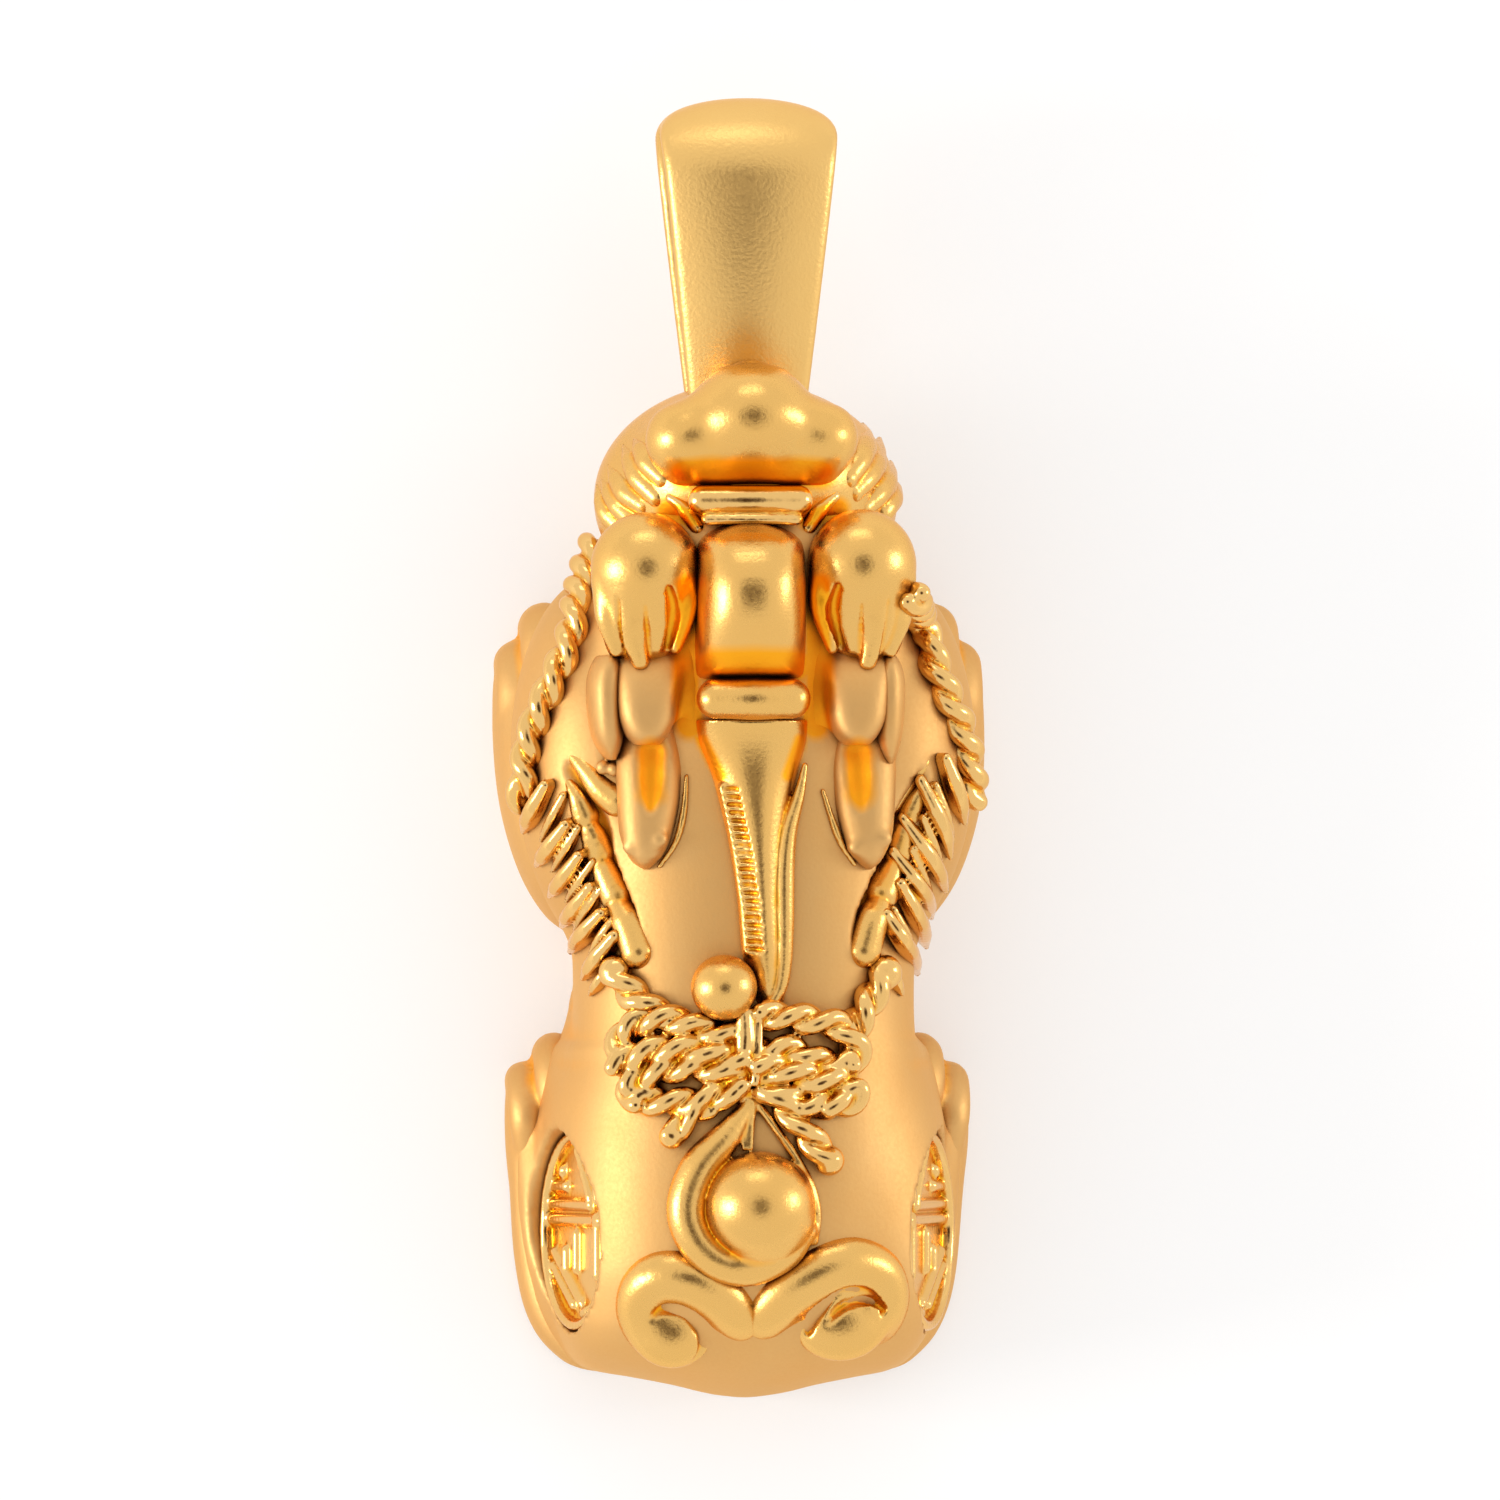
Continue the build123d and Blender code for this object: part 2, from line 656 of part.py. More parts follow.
def haunch_side(along, z):
    """How far out the haunch's skin lies at a height."""
    low = read(haunch_sections, "low", along) * haunch_height
    high = read(haunch_sections, "high", along) * haunch_height
    square = read(haunch_sections, "square", along)
    up = z - (low + high) / 2
    reach = abs(up) / ((high - low) / 2)
    half = read(haunch_sections, "thick", along) * haunch_width / 2
    bulge = half * (1 - reach**square) ** (1 / square)
    return x_at(read(haunch_sections, "out", along)) + bulge - up * tan(radians(haunch_lean))


def medallion_plane():
    """The face of the right medallion: its z points out of the haunch, its x to the head."""
    z = medallion_up * haunch_height
    lean = radians(haunch_lean)
    origin = (haunch_side(medallion_along, z), y_at(medallion_along), z)
    return Plane(origin=origin, x_dir=(0, 1, 0), z_dir=(cos(lean), 0, sin(lean))).offset(-medallion_inset)


def medallion_recess():
    floor = medallion_plane().offset(-medallion_depth)
    return floor * Cylinder(medallion_radius, haunch_width, align=(Align.CENTER, Align.CENTER, Align.MIN))


def medallion_relief():
    foot = medallion_plane().offset(-2 * medallion_depth)
    height = medallion_depth + medallion_bar_rise
    blocks = []
    for bar in medallion_bars:
        length = max(bar.length * medallion_radius, medallion_bar)
        tall = max(bar.height * medallion_radius, medallion_bar)
        block = Box(length, tall, height, align=(Align.CENTER, Align.CENTER, Align.MIN))
        blocks.append(foot * Pos(bar.along * medallion_radius, bar.up * medallion_radius, 0) * block)
    return blocks


def bail():
    """A teardrop loop of strap, wide at the top, that a chain passes through from side to side."""
    jaw_middle, jaw_half = jaw_shape()
    jaw_front = jaw_middle.Y + jaw_half.Y
    foot_y = jaw_front - bail_sink
    top_y = jaw_front + bail_length
    loop_y = top_y - bail_depth / 2
    middle_z = bail_up * head_height

    def teardrop(inset):
        radius = bail_depth / 2 - inset
        foot = bail_foot_depth / 2 - inset
        low = foot_y + 2 * inset
        corners = [(low, -foot), (loop_y, -radius), (loop_y, radius), (low, foot)]
        return make_face(Polyline(*corners, close=True)) + Pos(loop_y, 0) * Circle(radius)

    side_view = teardrop(0) - teardrop(bail_wall)
    strap = extrude(Plane.YZ.offset(-bail_width) * Pos(0, middle_z) * side_view, bail_width * 2)
    shoulder_y = top_y - bail_shoulder
    corners = [
        (-bail_foot_width / 2, foot_y),
        (bail_foot_width / 2, foot_y),
        (bail_width / 2, shoulder_y),
        (bail_top_width / 2, top_y),
        (-bail_top_width / 2, top_y),
        (-bail_width / 2, shoulder_y),
    ]
    front_view = make_face(Polyline(*corners, close=True))
    front_view = fillet(front_view.vertices().group_by(Axis.Y)[-1], bail_corner)
    return strap & extrude(front_view, head_height)


def pixiu_pendant():
    beast = body()
    for form in nose() + balls() + [bail()]:
        beast = beast.fuse(form)
    for side_plane in (None, Plane.YZ):
        recess = medallion_recess()
        bars = medallion_relief()
        if side_plane:
            recess = mirror(recess, about=side_plane)
            bars = [mirror(bar, about=side_plane) for bar in bars]
        beast = (beast - recess).fuse(*bars)
    ground = Pos(0, 0, -head_height / 2) * Box(4 * beast_width, 4 * beast_length, head_height)
    return beast - ground


os.makedirs("parts", exist_ok=True)
export_step(pixiu_pendant(), "parts/pixiu_pendant.step")
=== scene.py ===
from math import cos, pi, radians, sin

import bpy
import numpy as np
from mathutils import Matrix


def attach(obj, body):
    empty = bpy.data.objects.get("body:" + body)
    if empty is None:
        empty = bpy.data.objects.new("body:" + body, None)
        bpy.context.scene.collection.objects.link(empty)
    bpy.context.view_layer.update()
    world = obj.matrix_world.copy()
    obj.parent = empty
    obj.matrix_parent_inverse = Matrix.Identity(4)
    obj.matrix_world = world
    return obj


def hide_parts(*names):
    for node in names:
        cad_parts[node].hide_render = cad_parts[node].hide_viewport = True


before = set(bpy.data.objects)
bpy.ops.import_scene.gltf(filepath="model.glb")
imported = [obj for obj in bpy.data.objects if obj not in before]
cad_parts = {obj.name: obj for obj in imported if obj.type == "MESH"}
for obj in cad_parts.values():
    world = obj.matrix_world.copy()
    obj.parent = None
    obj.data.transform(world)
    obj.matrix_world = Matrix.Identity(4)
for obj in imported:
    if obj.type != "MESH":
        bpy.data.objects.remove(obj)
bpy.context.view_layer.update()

import openvdb
from mathutils import Matrix, Vector
from mathutils.bvhtree import BVHTree

mm = 0.001
farAway = 9.0  # mm, further than any form reaches
node = "pixiu_pendant"
sides = {"left": -1, "right": 1}

# The beast's own sizes in mm; along runs from 0 at the rump to 1 at the chin
beast = {
    "length": 20.4,
    "width": 9.8,
    "backHeight": 6.4,
    "rumpWidth": 8.0,
    "restShare": 0.492,  # how far along y is 0
}

# The photo: 50 pixels to a mm, seen from a little to the beast's left, so higher spots move to the right
photo = {
    "size": 1500,
    "pixelsPerMm": 50,
    "originX": 742,
    "originY": 900,
    "originZ": 2.5,
    "lean": 0.061,
    "distance": 620,
    "sensor": 36,  # mm
    "clip": (0.01, 5),  # m
    "rayFrom": 20,  # mm, over every skin
    "searchFrom": 9,  # mm, over every clay
    "edgeUnder": 0.3,  # mm, a form's sides show this far under its top
}


def yAt(along):
    return (along - beast["restShare"]) * beast["length"]


def spot(px, py, z):  # the place at height z that shows at a pixel of the photo
    x = (px - photo["originX"]) / photo["pixelsPerMm"] - (z - photo["originZ"]) * photo["lean"]
    return np.array([x, (photo["originY"] - py) / photo["pixelsPerMm"], z])


def spots(path, heights):  # one height for all, or one each
    return [spot(px, py, z) for (px, py), z in zip(path, np.broadcast_to(heights, len(path)))]


baseTrees = []  # finished skins that carry the relief


# The place on the skin that shows at a pixel, raised along its normal
def seat(px, py, lift=0.0, missing=2.0):
    start = Vector(spot(px, py, photo["rayFrom"]))
    down = Vector((photo["lean"], 0, -1)).normalized()
    hits = [tree.ray_cast(start, down) for tree in baseTrees]
    hits = [hit for hit in hits if hit[0] is not None]
    if not hits:
        return spot(px, py, missing)
    place, normal, _, _ = min(hits, key=lambda hit: hit[3])
    return np.array(place + normal * lift)


def seats(path, lifts, missing=2.0):  # one lift for all, or one each
    return [seat(px, py, lift, missing) for (px, py), lift in zip(path, np.broadcast_to(lifts, len(path)))]


def onClay(clay, px, py):  # the place on the clay's own skin that shows at a pixel
    for z in np.arange(photo["searchFrom"], 0, -clay["voxel"] / 2):
        place = spot(px, py, z)
        cell = np.round((place - clay["low"]) / clay["voxel"]).astype(int)
        if (cell >= 0).all() and (cell < clay["field"].shape).all() and clay["field"][tuple(cell)] < 0:
            return place
    return spot(px, py, 0)


# Clay: a block of cells that forms are pressed into, each a distance from the skin in mm
def newClay(low, high, voxel):
    low = np.array(low, float)
    count = np.ceil((np.array(high, float) - low) / voxel).astype(int) + 1
    return {"low": low, "voxel": voxel, "field": np.full(count, farAway, np.float32)}


def clayAround(rows, voxel, room=0.7):  # clay big enough for a barrel
    y, x, half, low, high = np.array(rows)[:, :5].T
    first = (x - half).min() - room, y.min() - room, low.min() - room
    return newClay(first, ((x + half).max() + room, y.max() + room, high.max() + room), voxel)


def clayOver(points, voxel, below, above=None):  # clay big enough for a set of points, with room round them
    points = np.vstack(points)
    above = below if above is None else above
    return newClay(points.min(axis=0) - below, points.max(axis=0) + above, voxel)


def cells(clay, low, high):
    size = np.array(clay["field"].shape)
    first = np.clip(np.floor((np.array(low) - clay["low"]) / clay["voxel"]).astype(int), 0, size)
    last = np.clip(np.ceil((np.array(high) - clay["low"]) / clay["voxel"]).astype(int) + 1, first, size)
    return first, last


def whole(clay):
    return (0, 0, 0), clay["field"].shape


def coordinates(clay, first, last):
    axes = [clay["low"][i] + clay["voxel"] * np.arange(first[i], last[i]) for i in range(3)]
    return np.meshgrid(*axes, indexing="ij", sparse=True)


def inside(first, last):
    return tuple(slice(a, b) for a, b in zip(first, last))


def join(clay, first, last, value, blend):
    part = inside(first, last)
    old = clay["field"][part]
    near = np.maximum(blend - np.abs(old - value), 0)
    clay["field"][part] = np.minimum(old, value) - near * near / (4 * blend)


def carve(clay, first, last, value, blend):
    part = inside(first, last)
    old = clay["field"][part]
    near = np.maximum(blend - np.abs(old + value), 0)
    clay["field"][part] = np.maximum(old, -value) + near * near / (4 * blend)


def smoothPath(points, spacing):
    points = np.array(points, float)
    padded = np.vstack([2 * points[0] - points[1], points, 2 * points[-1] - points[-2]])
    line = []
    for before, start, end, after in zip(padded, padded[1:], padded[2:], padded[3:]):
        count = max(int(np.linalg.norm(end - start) / spacing), 1)
        t = np.arange(count)[:, None] / count
        second = 2 * before - 5 * start + 4 * end - after
        third = 3 * start - before - 3 * end + after
        line.append(start + ((end - before) * t + (second * t**2 + third * t**3)) / 2)
    return np.vstack(line + [points[-1:]])


def strand(clay, points, radii, blend=0.05, cut=False, spacing=0.12, straight=False):
    line = np.array(points, float) if straight else smoothPath(points, spacing)
    radii = np.atleast_1d(radii)
    sizes = np.interp(np.linspace(0, 1, len(line)), np.linspace(0, 1, len(radii)), radii)
    wide = sizes.max() + blend + 2 * clay["voxel"]
    first, last = cells(clay, line.min(axis=0) - wide, line.max(axis=0) + wide)
    value = np.full(last - first, farAway, np.float32)
    for start, end, startSize, endSize in zip(line, line[1:], sizes, sizes[1:]):
        low, high = cells(clay, np.minimum(start, end) - wide, np.maximum(start, end) + wide)
        x, y, z = coordinates(clay, low, high)
        run = end - start
        x, y, z = x - start[0], y - start[1], z - start[2]
        share = np.clip((x * run[0] + y * run[1] + z * run[2]) / max(run @ run, 1e-9), 0, 1)
        away = np.sqrt((x - share * run[0]) ** 2 + (y - share * run[1]) ** 2 + (z - share * run[2]) ** 2)
        away -= startSize + share * (endSize - startSize)
        part = inside(low - first, high - first)
        value[part] = np.minimum(value[part], away)
    (carve if cut else join)(clay, first, last, value, blend)


def egg(clay, middle, half, blend=0.05):
    middle, half = np.array(middle, float), np.array(half, float) * np.ones(3)
    wide = half.max() + blend + 2 * clay["voxel"]
    first, last = cells(clay, middle - wide, middle + wide)
    x, y, z = coordinates(clay, first, last)
    gaps = x - middle[0], y - middle[1], z - middle[2]
    outer = np.sqrt(sum((gap / size) ** 2 for gap, size in zip(gaps, half)))
    slope = np.sqrt(sum((gap / size**2) ** 2 for gap, size in zip(gaps, half)))
    join(clay, first, last, outer * (outer - 1) / np.maximum(slope, 1e-6), blend)


def evenOut(value, voxel, least=0.2):  # turns a rough field into a distance near its skin
    slopes = np.gradient(value, voxel)
    return value / np.maximum(np.sqrt(sum(slope * slope for slope in slopes)), least)


# Rows of a barrel: y, middle x, half width, low, high, squareness
def barrel(clay, rows, blend=0.05, lean=0, spacing=0.15):
    rows = smoothPath(sorted(rows), spacing)
    rows = rows[np.argsort(rows[:, 0])]
    tall = (rows[:, 4] - rows[:, 3]).max()
    edge = blend + 3 * clay["voxel"]
    wide = rows[:, 2].max() + abs(np.tan(radians(lean))) * tall / 2 + edge
    low = (rows[:, 1].min() - wide, rows[0, 0] - edge, rows[:, 3].min() - edge)
    high = (rows[:, 1].max() + wide, rows[-1, 0] + edge, rows[:, 4].max() + edge)
    first, last = cells(clay, low, high)
    x, y, z = coordinates(clay, first, last)
    middle, half, low, high, square = (np.interp(y, rows[:, 0], column) for column in rows.T[1:])
    rise = (high - low) / 2
    up = z - (low + high) / 2
    away = np.abs((x - middle + up * np.tan(radians(lean))) / half) ** square + np.abs(up / rise) ** square
    value = (away ** (1 / square) - 1) * np.minimum(half, rise)
    value = np.maximum(evenOut(value, clay["voxel"]), np.maximum(rows[0, 0] - y, y - rows[-1, 0]))
    join(clay, first, last, value, blend)


# The same rows from pixels: py, middle px, half width px, top, squareness
def pixelRows(table, below, onSkin=False):
    rows = []
    for py, px, half, top, square in table:
        top = seat(px, py)[2] + top if onSkin else top
        x, y, _ = spot(px, py, top - photo["edgeUnder"])
        rows.append((y, x, half / photo["pixelsPerMm"], top - below, top, square))
    return rows


def layOnGround(clay):
    _, _, z = coordinates(clay, *whole(clay))
    clay["field"] = np.maximum(clay["field"], -z).astype(np.float32)


def awayFromRun(x, y, start, end):  # distance from a straight run in a plane
    runX, runY = end[0] - start[0], end[1] - start[1]
    share = np.clip(((x - start[0]) * runX + (y - start[1]) * runY) / (runX**2 + runY**2), 0, 1)
    return np.sqrt((x - start[0] - share * runX) ** 2 + (y - start[1] - share * runY) ** 2)


# Painted reflection: deep recesses given the orange of gold reflected in gold
paintedRecessReflection = {
    "from": 4.2,  # mm above the ground
    "facing": -0.3,  # a skin that faces down more than this stays plain
    "fall": 1.35,  # over 1 keeps the painted reflection full along a recess's middle
    "recesses": [  # line in pixels, radius in pixels, strength
        ([(684, 476), (820, 476)], 21, 1.0),
        ([(668, 512), (696, 520)], 16, 0.9),
        ([(808, 520), (838, 510)], 16, 0.9),
        ([(712, 666), (796, 666)], 24, 0.9),
        ([(688, 590), (686, 690), (690, 724)], 20, 1.0),
        ([(818, 590), (820, 690), (815, 724)], 20, 1.0),
        ([(652, 752), (652, 792)], 24, 0.8),
        ([(858, 752), (860, 792)], 24, 0.8),
        ([(590, 800), (606, 850), (626, 900)], 16, 0.35),
        ([(908, 804), (892, 860), (874, 905)], 16, 0.35),
        ([(702, 740), (720, 775)], 9, 0.8),
        ([(800, 740), (788, 775)], 9, 0.8),
    ],
}


def paintedRecessReflectionShare(points):  # how strongly the painted reflection falls on each point of a skin, from 0 to 1
    shift = (points[:, 2] - photo["originZ"]) * photo["lean"]
    px = photo["originX"] + photo["pixelsPerMm"] * (points[:, 0] + shift)
    py = photo["originY"] - photo["pixelsPerMm"] * points[:, 1]
    total = np.zeros(len(points))
    for line, radius, strength in paintedRecessReflection["recesses"]:
        away = np.min([awayFromRun(px, py, start, end) for start, end in zip(line, line[1:])], axis=0)
        total = np.maximum(total, strength * np.clip(paintedRecessReflection["fall"] * (1 - away / radius), 0, 1))
    return total


# How clay becomes a skin; its crest value is over 0 on edges and under 0 in grooves, where the gold is given
# a painted orange reflection
skin = {
    "pulls": (0.5, -0.52),  # a pass draws each point to its neighbours and then back, which keeps the size
    "crestPasses": 4,
    "crestGain": 8,
}


def neighbourMean(values, corners):
    total = np.zeros_like(values)
    weight = np.bincount(corners.ravel(), minlength=len(values))[:, None]
    for step in (1, 3):
        other = np.roll(corners, step, axis=1)
        for axis in range(values.shape[1]):
            total[:, axis] += np.bincount(corners.ravel(), values[other.ravel(), axis], minlength=len(values))
    return total / np.maximum(2 * weight, 1)


def cast(clay, name, finish, smooth=1):  # turns the clay into a mesh that rides on the part
    band = 3 * clay["voxel"]
    grid = openvdb.FloatGrid(band)
    grid.copyFromArray(np.clip(clay["field"], -band, band).astype(np.float32))
    points, corners = grid.convertToQuads(0)
    points = clay["low"] + np.array(points, float) * clay["voxel"]
    corners = np.array(corners, int)
    a, b, c = (points[corners[:, i]] for i in range(3))
    if (a * np.cross(b, c)).sum() < 0:  # the skin faces outwards
        corners = corners[:, ::-1]
    for _ in range(smooth):
        for pull in skin["pulls"]:
            points = points + (neighbourMean(points, corners) - points) * pull
    mesh = bpy.data.meshes.new(name)
    mesh.from_pydata((points * mm).tolist(), [], corners.tolist())
    mesh.shade_smooth()
    mesh.update()
    normals = np.zeros(len(points) * 3, np.float32)
    mesh.vertices.foreach_get("normal", normals)
    normals = normals.reshape(-1, 3)
    crest = -((neighbourMean(points, corners) - points) * normals).sum(axis=1, keepdims=True) / clay["voxel"]
    for _ in range(skin["crestPasses"]):
        crest = neighbourMean(crest, corners)
    shade = np.clip(crest[:, 0] * skin["crestGain"], -1, 1)
    # painted reflection: listed recesses high on the beast that face up get the full orange groove colour
    paintedReflection = paintedRecessReflectionShare(points) * (normals[:, 2] > paintedRecessReflection["facing"]) * (points[:, 2] > paintedRecessReflection["from"])
    layer = mesh.attributes.new("crest", "FLOAT", "POINT")
    layer.data.foreach_set("value", (shade * (1 - paintedReflection) - paintedReflection).astype(np.float32))
    mesh.materials.append(golds[finish])
    piece = bpy.data.objects.new(name, mesh)
    bpy.context.scene.collection.objects.link(piece)
    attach(piece, "root")
    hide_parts(node)
    print(name, "made,", len(corners), "faces")
    return points, corners


def carryRelief(made):  # later pieces sit on this skin
    points, corners = made
    baseTrees.append(BVHTree.FromPolygons(points.tolist(), corners.tolist()))


# Satin gold, bright where it has been rubbed, with a painted orange reflection in the grooves and painted
# brown shade where forms meet
goldFinishes = {
    # painted shade: the soft gold is a darker copy of the gold, to hold down the torso, legs, horns and ears
    # under the strong left box
    "shadedSoftGold": {"colour": (0.71, 0.43, 0.165), "groove": (0.92, 0.39, 0.015), "rough": 0.56, "grain": 0.16},
    "satinGold": {"colour": (0.79, 0.48, 0.15), "groove": (0.95, 0.40, 0.015), "rough": 0.29, "grain": 0.26},
    "brightGold": {"colour": (0.82, 0.52, 0.19), "groove": (0.88, 0.38, 0.015), "rough": 0.19, "grain": 0.12},
    "pittedGold": {"colour": (0.83, 0.53, 0.18), "groove": (0.70, 0.32, 0.05), "rough": 0.36, "grain": 0.40},
}

goldDetail = {
    "edgeTint": (1.0, 0.84, 0.68),  # gold stays warm where it turns away
    "paintedSeamShade": (0.20, 0.07, 0.01),  # painted shade: the brown line where forms meet and shut out the light
    "paintedSeamShadeWidth": 0.22,  # mm
    "paintedSeamShadeFrom": 0.62,
    "paintedSeamShadeGain": 2.4,
    "paintedSeamShadeSamples": 4,
    "cloud": (1.4, 3),  # size in mm, detail
    "grain": (0.07, 4),
    "grooveGain": -1.6,
    "cloudTint": 0.18,
    "rub": 0.07,  # how much smoother a crest is
    "speckle": 0.16,  # how much the grain roughens
    "patches": 0.10,  # how much the cloud roughens
    "bump": 0.02,  # mm
}


def mathNode(tree, operation, a, b, clamp=False):
    made = tree.nodes.new("ShaderNodeMath")
    made.operation = operation
    made.use_clamp = clamp
    for socket, value in zip(made.inputs, (a, b)):
        if isinstance(value, (int, float)):
            socket.default_value = value
        else:
            tree.links.new(value, socket)
    return made.outputs[0]


def mixNode(tree, factor, first, second):
    made = tree.nodes.new("ShaderNodeMix")
    made.data_type = "RGBA"
    tree.links.new(factor, made.inputs["Factor"])
    for socket, value in zip(made.inputs[6:8], (first, second)):  # the two colour sockets
        if isinstance(value, tuple):
            socket.default_value = (*value, 1)
        else:
            tree.links.new(value, socket)
    return made.outputs[2]


def noiseNode(tree, place, size, detail):
    made = tree.nodes.new("ShaderNodeTexNoise")
    made.inputs["Scale"].default_value = 1 / (size * mm)
    made.inputs["Detail"].default_value = detail
    tree.links.new(place, made.inputs["Vector"])
    return made.outputs["Fac"]


def makeGold(name):
    finish = goldFinishes[name]
    material = bpy.data.materials.new(name)
    material.use_nodes = True
    tree = material.node_tree
    shader = tree.nodes["Principled BSDF"]
    shader.inputs["Metallic"].default_value = 1.0
    shader.inputs["Specular Tint"].default_value = (*goldDetail["edgeTint"], 1)
    place = tree.nodes.new("ShaderNodeTexCoord").outputs["Object"]
    attribute = tree.nodes.new("ShaderNodeAttribute")
    attribute.attribute_name = "crest"
    crest = attribute.outputs["Fac"]
    cloud = noiseNode(tree, place, *goldDetail["cloud"])
    grain = noiseNode(tree, place, *goldDetail["grain"])
    # painted reflection: concave crests, and a random cloud besides, mix in the orange groove colour of gold
    # seen in gold
    depth = mathNode(tree, "MULTIPLY", crest, goldDetail["grooveGain"], clamp=True)
    shade = mathNode(tree, "ADD", depth, mathNode(tree, "MULTIPLY", cloud, goldDetail["cloudTint"]))
    colour = mixNode(tree, shade, finish["colour"], finish["groove"])
    # painted shade: occlusion draws brown lines where forms meet
    seamShadeNode = tree.nodes.new("ShaderNodeAmbientOcclusion")
    seamShadeNode.samples = goldDetail["paintedSeamShadeSamples"]
    seamShadeNode.inputs["Distance"].default_value = goldDetail["paintedSeamShadeWidth"] * mm
    # painted shade: the less open a spot, the browner it gets
    line = mathNode(tree, "SUBTRACT", goldDetail["paintedSeamShadeFrom"], seamShadeNode.outputs["AO"])
    line = mathNode(tree, "MULTIPLY", line, goldDetail["paintedSeamShadeGain"], clamp=True)
    tree.links.new(mixNode(tree, line, colour, goldDetail["paintedSeamShade"]), shader.inputs["Base Color"])
    rough = mathNode(tree, "SUBTRACT", finish["rough"], mathNode(tree, "MULTIPLY", crest, goldDetail["rub"]))
    for noise, amount in ((grain, goldDetail["speckle"]), (cloud, goldDetail["patches"])):
        change = mathNode(tree, "MULTIPLY", mathNode(tree, "SUBTRACT", noise, 0.5), amount)
        rough = mathNode(tree, "ADD", rough, change, clamp=True)
    tree.links.new(rough, shader.inputs["Roughness"])
    bump = tree.nodes.new("ShaderNodeBump")
    bump.inputs["Strength"].default_value = finish["grain"]
    bump.inputs["Distance"].default_value = goldDetail["bump"] * mm
    tree.links.new(grain, bump.inputs["Height"])
    tree.links.new(bump.outputs["Normal"], shader.inputs["Normal"])
    return material


golds = {name: makeGold(name) for name in goldFinishes}
print("golds made")


# Where the rump ends, seen from above: distance from the middle, y
rumpOutline = [(0, -10.10), (0.30, -10.06), (0.85, -9.90), (1.46, -9.71), (2.3, -9.53), (3.2, -9.38),
               (3.68, -9.08), (4.1, -8.65), (4.4, -8.04), (4.56, -7.2), (4.9, -4.0)]


def trimRump(clay, blend, spacing=0.1):  # rounds the clay off to the rump's outline in plan
    first, last = whole(clay)
    x, y, _ = coordinates(clay, first, last)
    line = smoothPath(rumpOutline, spacing)
    edge = np.interp(np.abs(x), line[:, 0], line[:, 1])
    slope = np.interp(np.abs(x), line[:, 0], np.gradient(line[:, 1], line[:, 0]))
    carve(clay, first, last, (y - edge) / np.sqrt(1 + slope**2) * np.ones(last), blend)


# Torso, neck and haunches: one smooth swelling skin with a flat belly
torso = {
    "voxel": 0.088,
    "box": ((-5.2, -10.4, -0.3), (5.2, 9.6, 8.2)),
    "sections": [  # along, across, low, high, squareness
        (-0.015, 0.86, -0.08, 0.55, 2.2), (0.010, 0.88, -0.08, 0.67, 2.2), (0.035, 0.89, -0.08, 0.79, 2.3),
        (0.060, 0.90, -0.08, 0.88, 2.4), (0.100, 0.91, -0.08, 0.95, 2.5), (0.159, 0.92, -0.08, 1.00, 2.5),
        (0.281, 0.90, -0.08, 1.01, 2.6), (0.370, 0.85, -0.08, 0.99, 2.7), (0.458, 0.85, -0.08, 1.00, 2.8),
        (0.580, 0.85, -0.08, 1.01, 2.8), (0.698, 0.80, -0.08, 1.00, 2.7), (0.801, 0.67, 0.00, 0.90, 2.3),
        (0.870, 0.50, 0.05, 0.78, 2.2),
    ],
    "shoulder": ((2.9, 2.9, 2.82), (1.75, 3.6, 2.94), 0.7),  # middle, half sizes, blend
    "swellings": [
        ((0, 5.41, 4.2), (3.09, 3.2, 2.7), 0.6),  # neck
        ((0, 6.61, 4.9), (2.75, 2.3, 1.95), 0.6),  # skull
        ((2.68, -6.6, 3.2), (1.3, 2.9, 2.2), 0.9),  # the right haunch is a little fuller
    ],
    "rumpBlend": 1.1,
    "grooves": [  # beside the wings, in pixels
        [(570, 768), (586, 796), (599, 826), (604, 856), (616, 886), (629, 914), (634, 940)],
        [(922, 776), (908, 806), (895, 836), (887, 864), (876, 890), (864, 916), (858, 940)],
    ],
    "grooveRadii": (0.10, 0.20, 0.24, 0.24, 0.20, 0.12),
    "smoothing": 5,
}

# Haunches, hind paws and forelegs are barrels too, mirrored from side to side
haunch = {
    "width": 3.3,
    "height": 5.6,
    "lean": 14,
    "blend": 0.9,
    "sections": [  # along, out, thick, low, high, squareness
        (0.385, 0.62, 0.10, 0.12, 0.20, 2.0), (0.357, 0.60, 0.30, 0.06, 0.32, 2.2),
        (0.336, 0.56, 0.67, -0.06, 0.57, 2.4), (0.286, 0.470, 0.97, -0.08, 0.88, 2.8),
        (0.223, 0.435, 1.00, -0.08, 1.00, 3.2), (0.149, 0.425, 1.00, -0.08, 0.98, 3.2),
        (0.090, 0.420, 0.97, -0.08, 0.88, 3.0), (0.040, 0.420, 0.94, -0.08, 0.76, 2.8),
        (0.000, 0.420, 0.90, -0.08, 0.62, 2.6),
    ],
}

